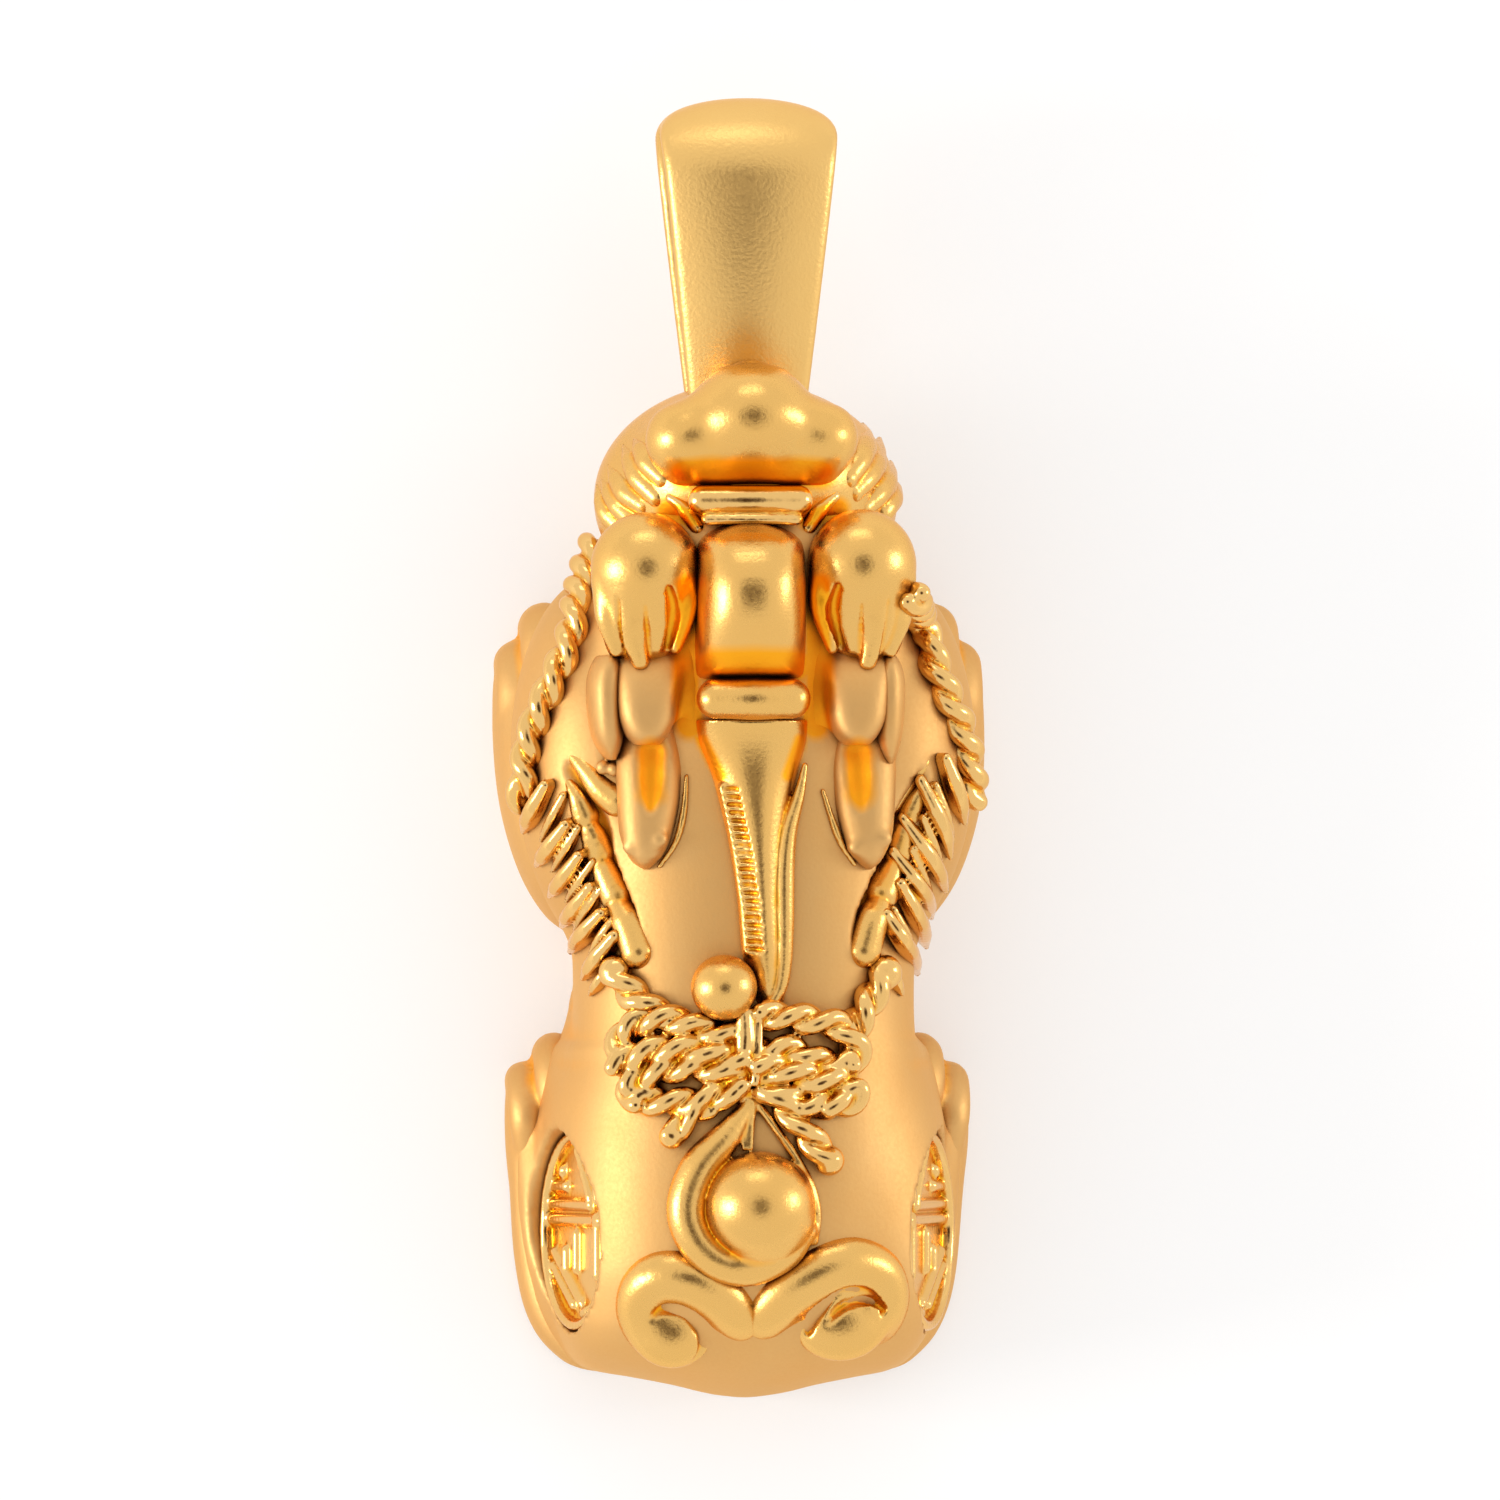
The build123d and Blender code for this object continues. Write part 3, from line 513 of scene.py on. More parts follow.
hindPaw = {
    "voxel": 0.088,
    "width": 1.9,
    "height": 2.0,
    "blend": 0.7,
    "sections": [
        (0.362, 0.74, 0.45, 0.05, 0.55, 2.2), (0.336, 0.77, 0.90, -0.15, 0.85, 2.3),
        (0.280, 0.785, 0.97, -0.20, 0.92, 2.3), (0.220, 0.790, 0.82, -0.20, 0.80, 2.1),
        (0.150, 0.785, 0.78, -0.20, 0.76, 2.1), (0.090, 0.745, 0.84, -0.20, 0.76, 2.1),
        (0.040, 0.66, 0.95, -0.20, 0.76, 2.2), (0.000, 0.58, 1.00, -0.20, 0.72, 2.3),
    ],
    "toes": [  # x, y, z, radius
        (3.02, -3.20, 1.62, 0.44), (3.66, -3.12, 1.56, 0.46), (4.26, -3.66, 1.34, 0.42),
    ],
    "toeRun": 1.5,
    "pullBack": 0.45,  # how far the paw's own end lies behind the toe tips
    "toeRows": 2,  # the rows before this one stand out from the torso's skin
    "under": 0.04,  # how far the rest lies under that skin
    "rumpBlend": 0.5,
}

foreleg = {
    "voxel": 0.088,
    "width": 2.3,
    "height": 3.9,
    "sections": [
        (0.789, 0.73, 0.43, 0.05, 0.31, 2.2), (0.757, 0.77, 0.87, -0.08, 0.52, 2.4),
        (0.698, 0.78, 0.96, -0.10, 0.72, 2.4), (0.590, 0.75, 1.00, -0.10, 1.00, 2.4),
        (0.522, 0.69, 0.92, -0.10, 1.00, 2.4), (0.477, 0.63, 0.70, -0.06, 0.82, 2.3),
        (0.455, 0.59, 0.35, 0.10, 0.56, 2.2),
    ],
    "toes": [(3.16, 5.50, 1.80, 0.52), (3.86, 5.42, 1.75, 0.54), (4.40, 4.72, 1.55, 0.48)],
    "toeRun": 1.9,
    "pullBack": 0.55,
    "under": 0,
}

# A toe, from the ground over its tip and knuckle to its root
toe = {
    "way": [  # inwards, back, back in toe runs, share of the height, rise, share of the radius
        (0, 0, 0, 0.40, 0, 1),
        (0, 0.10, 0, 1, -0.15, 1),
        (0.02, 0, 0.40, 1, 0.25, 1.05),
        (0.12, 0, 1, 1, 0.05, 0.7),
    ],
    "blend": 0.06,
    "smoothing": 2,
    "below": (0.7, 0.5, 0.3),  # room in the clay round the leg
    "above": (0.7, 1.3, 0.5),
}


def legRows(leg, side):
    rows = []
    for along, out, thick, low, high, square in leg["sections"]:
        x = side * out * beast["width"] / 2
        half = thick * leg["width"] / 2
        rows.append((yAt(along), x, half, low * leg["height"], high * leg["height"], square))
    back = leg.get("pullBack", 0)
    middle = sum(row[0] for row in rows) / len(rows)
    return [(y - back if y > middle else y, *rest) for y, *rest in rows]


def makeTorso():
    clay = newClay(*torso["box"], torso["voxel"])
    rows = []
    for along, across, low, high, square in torso["sections"]:
        half = across * beast["rumpWidth"] / 2
        rows.append((yAt(along), 0, half, low * beast["backHeight"], high * beast["backHeight"], square))
    barrel(clay, rows)
    (x, y, z), half, blend = torso["shoulder"]
    for side in sides.values():
        barrel(clay, legRows(haunch, side), haunch["blend"], side * haunch["lean"])
        barrel(clay, legRows(hindPaw, side)[hindPaw["toeRows"]:], hindPaw["blend"])
        egg(clay, (side * x, y, z), half, blend)
    for swelling in torso["swellings"]:
        egg(clay, *swelling)
    trimRump(clay, torso["rumpBlend"])
    for groove in torso["grooves"]:
        strand(clay, [onClay(clay, px, py) for px, py in groove], torso["grooveRadii"], cut=True)
    for word in sides:
        sinkMedallion(clay, word)
    layOnGround(clay)
    carryRelief(cast(clay, "torso", "shadedSoftGold", torso["smoothing"]))


def makeLeg(name, leg, word):
    side, gap = sides[word], leg["under"]
    rows = [(y, x, half - gap, low, high - gap, square)
            for y, x, half, low, high, square in legRows(leg, side)]
    y, x, half, _, top, _ = np.array(rows).T
    ends = [((x - half).min(), y.min(), 0), ((x + half).max(), y.max(), top.max())]
    clay = clayOver(ends, leg["voxel"], toe["below"], toe["above"])
    barrel(clay, rows)
    for x, y, z, radius in leg["toes"]:
        path = [(side * (x - inwards), y - back - runs * leg["toeRun"], share * z + rise)
                for inwards, back, runs, share, rise, _ in toe["way"]]
        strand(clay, path, [radius * stop[-1] for stop in toe["way"]], toe["blend"])
    if leg is hindPaw:
        trimRump(clay, hindPaw["rumpBlend"])
        sinkMedallion(clay, word)
    layOnGround(clay)
    carryRelief(cast(clay, name + "_" + word, "shadedSoftGold", toe["smoothing"]))


# Longevity medallions, sunk into the haunches
medallion = {
    "voxel": 0.05,
    "radius": 2.0,
    "depth": 0.24,  # how far its floor is sunk
    "clearance": 0.02,
    "edgeBlend": 0.08,
    "plate": (0.15, 0.19),  # how far its middle lies under the floor, half thickness
    "plateOver": 0.03,
    "rimHalf": 0.108,
    "rimRise": 0.16,
    "barHalf": 0.125,
    "barRise": 0.72,  # in depths
    "blends": (0.03, 0.05, 0.04),  # plate, rim, bars
    "room": (1.4, 2.3, 2.3),
    "left": {"middle": (-3.45, -6.60, 3.42), "lean": 16},
    "right": {"middle": (3.73, -6.60, 3.54), "lean": 17},
    "bars": [  # both ends, along and up, in radii
        ((0.26, -0.84), (0.26, 0.31)), ((0.11, -0.88), (0.11, 0.58)), ((0.14, 0.52), (-0.44, 0.52)),
        ((-0.03, -0.10), (-0.38, -0.10)), ((-0.20, -0.42), (-0.36, -0.42)), ((-0.22, -0.76), (-0.72, 0.06)),
        ((-0.36, -0.80), (-0.74, -0.18)), ((0.44, -0.76), (0.44, -0.40)), ((0.80, -0.06), (0.56, 0.14)),
        ((0.56, 0.14), (0.34, 0.30)), ((0.58, -0.52), (0.60, -0.50)), ((0.42, 0.50), (0.32, 0.52)),
        ((-0.82, 0.12), (-0.80, 0.24)),
    ],
}


def medallionFace(word):  # its own axes: first to the head, then up the haunch, then outwards
    side, lean = sides[word], radians(medallion[word]["lean"])
    outward = Vector((side * cos(lean), 0, sin(lean)))
    upward = Vector((-side * sin(lean), 0, cos(lean)))
    axes = Matrix((Vector((0, 1, 0)), upward, outward)).transposed().to_4x4()
    return Matrix.Translation(medallion[word]["middle"]) @ axes


def faceCoordinates(clay, face, first, last):
    x, y, z = coordinates(clay, first, last)
    turn = np.array(face.inverted())
    return [turn[i, 0] * x + turn[i, 1] * y + turn[i, 2] * z + turn[i, 3] for i in range(3)]


def sinkMedallion(clay, word):  # the round recess that holds it
    face = medallionFace(word)
    middle = np.array(face.translation)
    radius = medallion["radius"] + medallion["clearance"]
    first, last = cells(clay, middle - radius - 1, middle + radius + 1)
    along, up, out = faceCoordinates(clay, face, first, last)
    value = np.maximum(np.sqrt(along**2 + up**2) - radius, -medallion["depth"] - out)
    carve(clay, first, last, value, medallion["edgeBlend"])


def makeMedallion(word):
    face = medallionFace(word)
    radius, depth = medallion["radius"], medallion["depth"]
    plateBlend, rimBlend, barBlend = medallion["blends"]
    clay = clayOver([np.array(face.translation)], medallion["voxel"], medallion["room"])
    first, last = whole(clay)
    along, up, out = faceCoordinates(clay, face, first, last)
    away = np.sqrt(along**2 + up**2)
    under, half = medallion["plate"]
    plate = np.maximum(away - radius - medallion["plateOver"], np.abs(out + depth + under) - half)
    join(clay, first, last, plate, plateBlend)
    half = medallion["rimHalf"]
    over = np.maximum(np.abs(out + depth) - medallion["rimRise"], 0)
    join(clay, first, last, np.sqrt((away - radius + half) ** 2 + over**2) - half, rimBlend)
    half = medallion["barHalf"]
    over = np.maximum(np.abs(out + depth) - depth * medallion["barRise"] + half, 0)
    for start, end in np.array(medallion["bars"]) * radius:
        gap = awayFromRun(along, up, start, end)
        join(clay, first, last, np.sqrt(gap**2 + over**2) - half, barBlend)
    cast(clay, "medallion_" + word, "brightGold")


# Jaw and muzzle
jaw = {
    "voxel": 0.080,
    "box": ((-3.5, 5.2, -0.3), (3.5, 10.8, 7.4)),
    "eggs": [((0, 8.0, 3.7), (3.03, 2.35, 2.7), 0.05), ((0, 8.45, 5.2), (2.3, 1.7, 1.7), 0.5)],
    "smoothing": 2,
}

# Locks that stand out from the jaw
cheekFur = {
    "voxel": 0.05,
    "radii": (0.05, 0.20, 0.28, 0.24),
    "lifts": (-0.03, -0.10, -0.16),
    "blend": 0.015,
    "left": {
        "box": ((-3.6, 6.6, 1.5), (0, 10.0, 6.8)),
        "locks": [  # each from its tip to its root, in pixels
            [(634, 440), (644, 460), (660, 480)],
            [(623, 446), (634, 474), (654, 500)],
            [(608, 466), (621, 490), (640, 508)],
            [(601, 480), (612, 500), (630, 518)],
            [(597, 486), (602, 508), (614, 528)],
        ],
    },
    "right": {
        "box": ((0, 6.6, 1.5), (3.6, 10.0, 6.8)),
        "locks": [
            [(863, 424), (866, 452), (852, 480)],
            [(880, 438), (875, 470), (858, 494)],
            [(891, 462), (886, 488), (869, 510)],
            [(896, 482), (892, 504), (881, 524)],
        ],
    },
}


def makeJaw():
    clay = newClay(*jaw["box"], jaw["voxel"])
    for shape in jaw["eggs"]:
        egg(clay, *shape)
    layOnGround(clay)
    carryRelief(cast(clay, "jaw", "satinGold", jaw["smoothing"]))
    for word in sides:
        clay = newClay(*cheekFur[word]["box"], cheekFur["voxel"])
        for lock in cheekFur[word]["locks"]:
            strand(clay, seats(lock, cheekFur["lifts"]), cheekFur["radii"], cheekFur["blend"])
        cast(clay, "cheek_fur_" + word, "satinGold")


# Nose: a broad three-lobed dome that overhangs the bridge
nose = {
    "voxel": 0.066,
    "box": ((-2.6, 7.4, 4.4), (2.8, 11.2, 8.4)),
    "rows": [  # py, middle px, half width px, top, squareness
        (366, 751, 12, 6.62, 2.0), (373, 751, 32, 6.98, 2.0), (388, 752, 47, 7.34, 2.0),
        (404, 752, 63, 7.48, 2.0), (418, 752, 83, 7.54, 2.0), (430, 752, 93, 7.54, 2.0),
        (444, 752, 97, 7.48, 2.1), (456, 752, 96, 7.40, 2.3), (467, 752, 92, 7.24, 2.6),
        (477, 752, 87, 7.07, 2.8), (486, 752, 81, 6.90, 2.8), (491, 752, 78, 6.60, 2.8),
    ],
    "below": 2.1,
    "lobes": [  # pixel, height, half sizes
        ((753, 418), 6.76, (1.06, 0.94, 1.12)),
        ((681, 440), 6.60, (0.60, 0.60, 0.76)),
        ((825, 439), 6.60, (0.60, 0.60, 0.76)),
    ],
    "blend": 0.5,
    "smoothing": 4,
}


def makeNose():
    clay = newClay(*nose["box"], nose["voxel"])
    barrel(clay, pixelRows(nose["rows"], nose["below"]))
    for (px, py), z, half in nose["lobes"]:
        egg(clay, spot(px, py, z), half, nose["blend"])
    carryRelief(cast(clay, "nose", "satinGold", nose["smoothing"]))


# Nose bridge: a core with bands across it, and two notches in the bands
bridge = {
    "voxel": 0.045,
    "box": ((-1.6, 6.9, 6.0), (1.7, 8.9, 7.9)),
    "bands": [(703, 798, 502, 6.98, 0.30), (707, 797, 521, 7.10, 0.12)],  # left, right, py, z, radius
    "droop": 0.12,
    "notches": [[(742, 485), (742, 512)], [(795, 485), (795, 512)]],
    "notchHeight": 7.38,
    "notchRadius": 0.05,
    "blend": 0.03,
    "core": [(716, 505), (788, 505)],
    "coreHeight": 6.55,
    "coreRadius": 0.44,
    "coreBlend": 0.1,
}

# Small folds of skin in the hollows beside the bridge
folds = {
    "voxel": 0.05,
    "box": ((-2.4, 6.9, 5.4), (2.4, 8.4, 7.9)),
    "paths": [[(670, 500), (684, 510), (697, 528)], [(836, 498), (822, 510), (809, 528)]],
    "lift": -0.06,
    "radii": (0.12, 0.20, 0.16),
    "blend": 0.03,
}

# Forehead: a square block between the brows, rounded in front
forehead = {
    "voxel": 0.060,
    "middle": 753,  # px
    "half": 54,  # px
    "low": 5.0,
    "square": 2.5,
    "seenAt": 7.6,  # mm, the height of its outline
    "clayX": 1.8,
    "clayZ": (5.3, 8.8),
    "room": 0.5,
    "rows": [  # py, width share, height
        (680, 1.00, 6.90), (677, 1.01, 7.25), (670, 1.01, 7.62), (650, 1.02, 7.98), (620, 1.02, 8.26),
        (588, 1.02, 8.33), (564, 1.01, 8.20), (548, 0.98, 7.98), (538, 0.88, 7.74), (530, 0.66, 7.46),
        (522, 0.34, 7.00),
    ],
    "smoothing": 4,
}

# Collar: a short band across the neck, behind the forehead
collar = {
    "voxel": 0.060,
    "box": ((-1.9, 3.0, 5.8), (1.9, 5.0, 8.2)),
    "path": [(717, 699), (753.5, 699), (790, 699)],
    "heights": (7.06, 7.20, 7.06),
    "radii": (0.4085, 0.43, 0.4085),
    "smoothing": 2,
}


def makeFace():
    clay = newClay(*bridge["box"], bridge["voxel"])
    for left, right, py, z, radius in bridge["bands"]:
        low = z - bridge["droop"]
        path = spots([(left, py), ((left + right) / 2, py), (right, py)], (low, z, low))
        strand(clay, path, radius, bridge["blend"])
    for notch in bridge["notches"]:
        strand(clay, spots(notch, bridge["notchHeight"]), bridge["notchRadius"], bridge["blend"], cut=True)
    strand(clay, spots(bridge["core"], bridge["coreHeight"]), bridge["coreRadius"], bridge["coreBlend"])
    cast(clay, "nose_bridge", "brightGold")
    clay = newClay(*folds["box"], folds["voxel"])
    for path in folds["paths"]:
        strand(clay, seats(path, folds["lift"]), folds["radii"], folds["blend"])
    cast(clay, "bridge_folds", "brightGold")
    half = forehead["half"] / photo["pixelsPerMm"]
    rows = []
    for py, wide, top in sorted(forehead["rows"], reverse=True):
        x, y, _ = spot(forehead["middle"], py, forehead["seenAt"])
        rows.append((y, x, half * wide, forehead["low"], top, forehead["square"]))
    (low, high), room = forehead["clayZ"], forehead["room"]
    first = -forehead["clayX"], rows[0][0] - room, low
    clay = newClay(first, (forehead["clayX"], rows[-1][0] + room, high), forehead["voxel"])
    barrel(clay, rows)
    carryRelief(cast(clay, "forehead", "satinGold", forehead["smoothing"]))
    clay = newClay(*collar["box"], collar["voxel"])
    strand(clay, spots(collar["path"], collar["heights"]), collar["radii"])
    cast(clay, "collar", "satinGold", collar["smoothing"])


# Brow balls, whose hair runs down between the horns and the forehead
brow = {
    "voxel": 0.050,
    "below": (1.5, 2.6, 1.9),  # room in the clay round the ball's middle
    "above": 1.5,
    "left": {
        "ball": (646, 566),
        "drop": [(646, 575), (645, 606), (644, 634)],
        "hair": [  # from root to tip
            [(607, 584), (609, 620), (617, 652)],
            [(630, 590), (633, 630), (641, 662)],
            [(657, 588), (660, 620), (657, 648)],
            [(684, 570), (688, 606), (676, 648)],
        ],
        "hollows": [
            [(619, 600), (621, 628), (628, 656)],
            [(646, 606), (648, 630), (650, 656)],
            [(669, 590), (674, 614), (668, 646)],
        ],
    },
    "right": {
        "ball": (861, 563),
        "drop": [(861, 572), (862, 604), (863, 632)],
        "hair": [
            [(900, 582), (898, 620), (890, 652)],
            [(877, 590), (874, 630), (867, 662)],
            [(850, 586), (848, 620), (852, 648)],
            [(824, 568), (820, 604), (832, 648)],
        ],
        "hollows": [
            [(888, 600), (886, 628), (879, 656)],
            [(861, 606), (860, 630), (859, 656)],
            [(838, 588), (833, 612), (841, 646)],
        ],
    },
    "ballRadius": 1.04,
    "ballHeight": 6.66,
    "dropHeights": (6.60, 6.48, 6.26),
    "dropRadii": (1.00, 0.95, 0.80),
    "dropBlend": 0.3,
    "hairHeights": [(6.80, 6.86, 6.84), (7.10, 7.00, 6.96), (7.14, 7.06, 6.96), (6.98, 6.98, 6.90)],
    "hairRadii": [(0.28, 0.26, 0.12), (0.36, 0.32, 0.18), (0.20, 0.22, 0.12), (0.26, 0.24, 0.13)],
    "hairBlend": 0.12,
    "hollowRadii": (0.055, 0.055, 0.15),
    "hollowSink": 0.3,  # in radii
    "hollowShares": (0.6, 1, 0.6),
    "hollowBlend": 0.04,
}


def makeBrow(word):
    shape = brow[word]
    middle = spot(*shape["ball"], brow["ballHeight"])
    clay = clayOver([middle], brow["voxel"], brow["below"], brow["above"])
    egg(clay, middle, brow["ballRadius"])
    strand(clay, spots(shape["drop"], brow["dropHeights"]), brow["dropRadii"], brow["dropBlend"])
    for path, heights, radii in zip(shape["hair"], brow["hairHeights"], brow["hairRadii"]):
        strand(clay, spots(path, heights), radii, brow["hairBlend"])
    for path, radius in zip(shape["hollows"], brow["hollowRadii"]):
        points = [onClay(clay, px, py) - (0, 0, brow["hollowSink"] * radius) for px, py in path]
        strand(clay, points, np.array(brow["hollowShares"]) * radius, brow["hollowBlend"], cut=True)
    carryRelief(cast(clay, "brow_" + word, "satinGold"))


# Horns in two lobes, one lying over the other
horn = {
    "voxel": 0.060,
    "smoothing": 3,
    "upperRows": [  # py, half width px, top, squareness
        (652, 35, 6.72, 2.8), (664, 35, 6.94, 3.2), (680, 33, 7.10, 3.4), (700, 31, 7.18, 3.4),
        (720, 28, 7.20, 3.2), (736, 21, 7.16, 2.6), (745, 13, 6.98, 2.2),
    ],
    "upperBelow": 1.5,
    "lowerRows": [  # py, half width px, rise over the back
        (726, 30, 0.30), (762, 34, 0.44), (785, 33, 0.50), (808, 31, 0.54), (832, 27, 0.56),
        (847, 22, 0.54), (856, 17, 0.50), (862, 12, 0.42), (866, 7, 0.32), (869, 3, 0.20),
    ],
    "lowerSquare": 2.6,
    "lowerBelow": 1.3,
    "left": {
        "upper": (651, 650, 649, 648, 648, 648, 648),  # middles of the rows
        "lower": (651, 651, 651, 650, 648, 647.5, 647, 646, 646, 646),
        "valley": [(653, 752), (652, 776), (651, 808)],
        "bumps": [(631, 846), (661, 839)],
        "flange": [(690, 610), (690, 660), (692, 694), (696, 720)],
    },
    "right": {
        "upper": (858, 858, 858, 858, 858, 857, 857),
        "lower": (861, 862, 863, 864, 866, 866.5, 867, 868, 868, 868),
        "valley": [(856, 752), (858, 776), (860, 808)],
        "bumps": [(855, 847), (884, 838)],
        "flange": [(817, 610), (817, 660), (815, 694), (811, 720)],
    },
    "flangeHeights": (6.20, 6.16, 6.12, 6.10),
    "flangeRadii": (0.36, 0.46, 0.46, 0.36),
    "flangeBlend": 0.3,
    "valleyRadii": (0.30, 0.26, 0.06),
    "valleyLift": 0.5,  # in radii
    "bumpRadius": 0.15,
    "bumpSink": 0.06,
    "blend": 0.12,
}

# Thin ear outside each horn, with small bulbs at its foot
ear = {
    "voxel": 0.045,
    "smoothing": 2,
    "below": 2.2,
    "left": [  # py, middle px, half width px, top, squareness
        (656, 611, 11, 6.78, 2.2), (664, 610, 15, 6.90, 2.4), (680, 608, 18, 6.96, 2.6),
        (705, 608, 18, 6.96, 2.6), (735, 610, 16, 6.84, 2.6), (752, 612, 11, 6.62, 2.2),
        (760, 613, 6, 6.40, 2.0),
    ],
    "right": [
        (656, 888, 9, 6.78, 2.2), (664, 889, 13, 6.90, 2.4), (680, 890, 16, 6.96, 2.6),
        (705, 890, 16, 6.96, 2.6), (735, 889, 14, 6.84, 2.6), (756, 889, 9, 6.62, 2.2),
        (764, 889, 5, 6.40, 2.0),
    ],
    "bulbs": {"left": [(605, 767), (616, 769)], "right": [(886, 760)]},
    "bulbRadius": 0.15,
    "bulbLift": 0.10,
    "bulbBlend": 0.03,
}

# Rim along the inner edge of each horn, and the strap outside it
hornRims = {
    "voxel": 0.045,
    "room": 0.5,
    "rim": {
        "left": [(687, 776), (684, 812), (676, 842), (660, 866)],
        "right": [(822, 790), (831, 818), (841, 844), (854, 864)],
    },
    "rimLift": 0.02,
    "rimRadii": (0.048, 0.08, 0.048),
    "strap": {
        "left": [(565, 750), (582, 768), (602, 790), (616, 801)],
        "right": [(938, 744), (927, 764), (910, 788), (895, 812)],
    },
    "strapLift": -0.14,
    "strapRadii": {"left": (0.12, 0.20, 0.30, 0.34), "right": (0.10, 0.16, 0.20, 0.18)},
    "blend": 0.03,
}


def makeHorn(word):
    shape = horn[word]
    square = horn["lowerSquare"]
    table = [(py, px, half, rise, square) for (py, half, rise), px in zip(horn["lowerRows"], shape["lower"])]
    rows = pixelRows(table, horn["lowerBelow"], True)
    clay = clayAround(rows, horn["voxel"])
    barrel(clay, rows)
    valley = [onClay(clay, *place) + (0, 0, horn["valleyLift"] * radius)
              for place, radius in zip(shape["valley"], horn["valleyRadii"])]
    strand(clay, valley, horn["valleyRadii"], horn["blend"], cut=True)
    for bump in shape["bumps"]:
        egg(clay, onClay(clay, *bump) - (0, 0, horn["bumpSink"]), horn["bumpRadius"], horn["blend"])
    lower = cast(clay, "lower_horn_" + word, "shadedSoftGold", horn["smoothing"])
    table = [(py, px, *rest) for (py, *rest), px in zip(horn["upperRows"], shape["upper"])]
    rows = pixelRows(table, horn["upperBelow"])
    clay = clayAround(rows, horn["voxel"])
    barrel(clay, rows)
    strand(clay, spots(shape["flange"], horn["flangeHeights"]), horn["flangeRadii"], horn["flangeBlend"])
    upper = cast(clay, "upper_horn_" + word, "shadedSoftGold", horn["smoothing"])
    rows = pixelRows(ear[word], ear["below"])
    clay = clayAround(rows, ear["voxel"])
    barrel(clay, rows)
    for bulb in ear["bulbs"][word]:
        egg(clay, seat(*bulb, ear["bulbLift"]), ear["bulbRadius"], ear["bulbBlend"])
    cast(clay, "ear_" + word, "shadedSoftGold", ear["smoothing"])
    rim = seats(hornRims["rim"][word], hornRims["rimLift"])
    strap = seats(hornRims["strap"][word], hornRims["strapLift"])
    clay = clayOver(rim + strap, hornRims["voxel"], hornRims["room"])
    strand(clay, rim, hornRims["rimRadii"], hornRims["blend"])
    strand(clay, strap, hornRims["strapRadii"][word], hornRims["blend"])
    cast(clay, "horn_rims_" + word, "satinGold")
    carryRelief(lower)
    carryRelief(upper)


# Mane ridge: a saddle that narrows down the back, with a comb of notches on one slope and a band on the other
mane = {
    "voxel": 0.040,
    "box": ((-1.7, -2.5, 5.4), (1.9, 4.2, 7.6)),
    "rows": [  # py, middle px, half width px, rise over the back, squareness
        (720, 752, 56, 0.60, 2.8), (742, 753, 54, 0.56, 2.6), (765, 754, 47, 0.54, 2.4),
        (790, 755, 41, 0.53, 2.2), (820, 757, 36, 0.52, 2.0), (850, 759, 32, 0.50, 1.9),
        (900, 762, 28, 0.46, 1.8), (950, 765, 27, 0.40, 1.8), (985, 768, 24, 0.32, 1.6),
        (1002, 770, 18, 0.22, 1.6),
    ],
    "foot": 0.35,
    "sideLimit": 0.98,  # of the half width, where its slope is still counted as skin
    "comb": (788, 954, 8.0),  # first py, last py, pitch
    "combIn": 14,  # pixels from the ridge's left edge to the comb's middle
    "combRadius": 0.17,
    "combSink": 0.10,
    "notch": [(-3, 0), (4, 0), (10, 1)],  # pixels from the comb's middle
    "notchRadius": 0.045,
    "notchBlend": 0.02,
    "band": [(803, 765), (797, 795), (787, 830), (783, 870), (783, 930), (782, 965), (778, 988), (768, 1004),
             (757, 1008)],
    "bandRadii": (0.06, 0.12, 0.17, 0.20, 0.21, 0.20, 0.18, 0.15, 0.12),
    "bandLift": 0.20,
    "blend": 0.03,
}


def makeMane():
    clay = newClay(*mane["box"], mane["voxel"])
    rows = []
    for py, px, half, rise, square in mane["rows"]:
        x, y, z = seat(px, py)
        top = z + rise
        rows.append((y, x, half / photo["pixelsPerMm"], top - 2 * (rise + mane["foot"]), top, square))
    barrel(clay, rows)
    table = np.array(sorted(rows))

    def slope(px, py):  # the ridge's own skin at a pixel
        y = spot(px, py, 0)[1]
        middle, half, low, high, square = (np.interp(y, table[:, 0], column) for column in table.T[1:])
        x = spot(px, py, high)[0]
        share = min(abs(x - middle) / half, mane["sideLimit"])
        return np.array([x, y, (low + high) / 2 + (high - low) / 2 * (1 - share**square) ** (1 / square)])

    pixels = np.array(mane["rows"])
    pys = np.arange(*mane["comb"])
    pxs = np.interp(pys, pixels[:, 0], pixels[:, 1] - pixels[:, 2]) + mane["combIn"]
    comb = [slope(px, py) - (0, 0, mane["combSink"]) for px, py in zip(pxs, pys)]
    strand(clay, comb, mane["combRadius"], mane["blend"])
    for px, py in zip(pxs, pys):
        ends = [onClay(clay, px + right, py + down) for right, down in mane["notch"]]
        strand(clay, ends, mane["notchRadius"], mane["notchBlend"], cut=True)
    strand(clay, seats(mane["band"], mane["bandLift"]), mane["bandRadii"], mane["blend"])
    cast(clay, "mane_ridge", "satinGold")


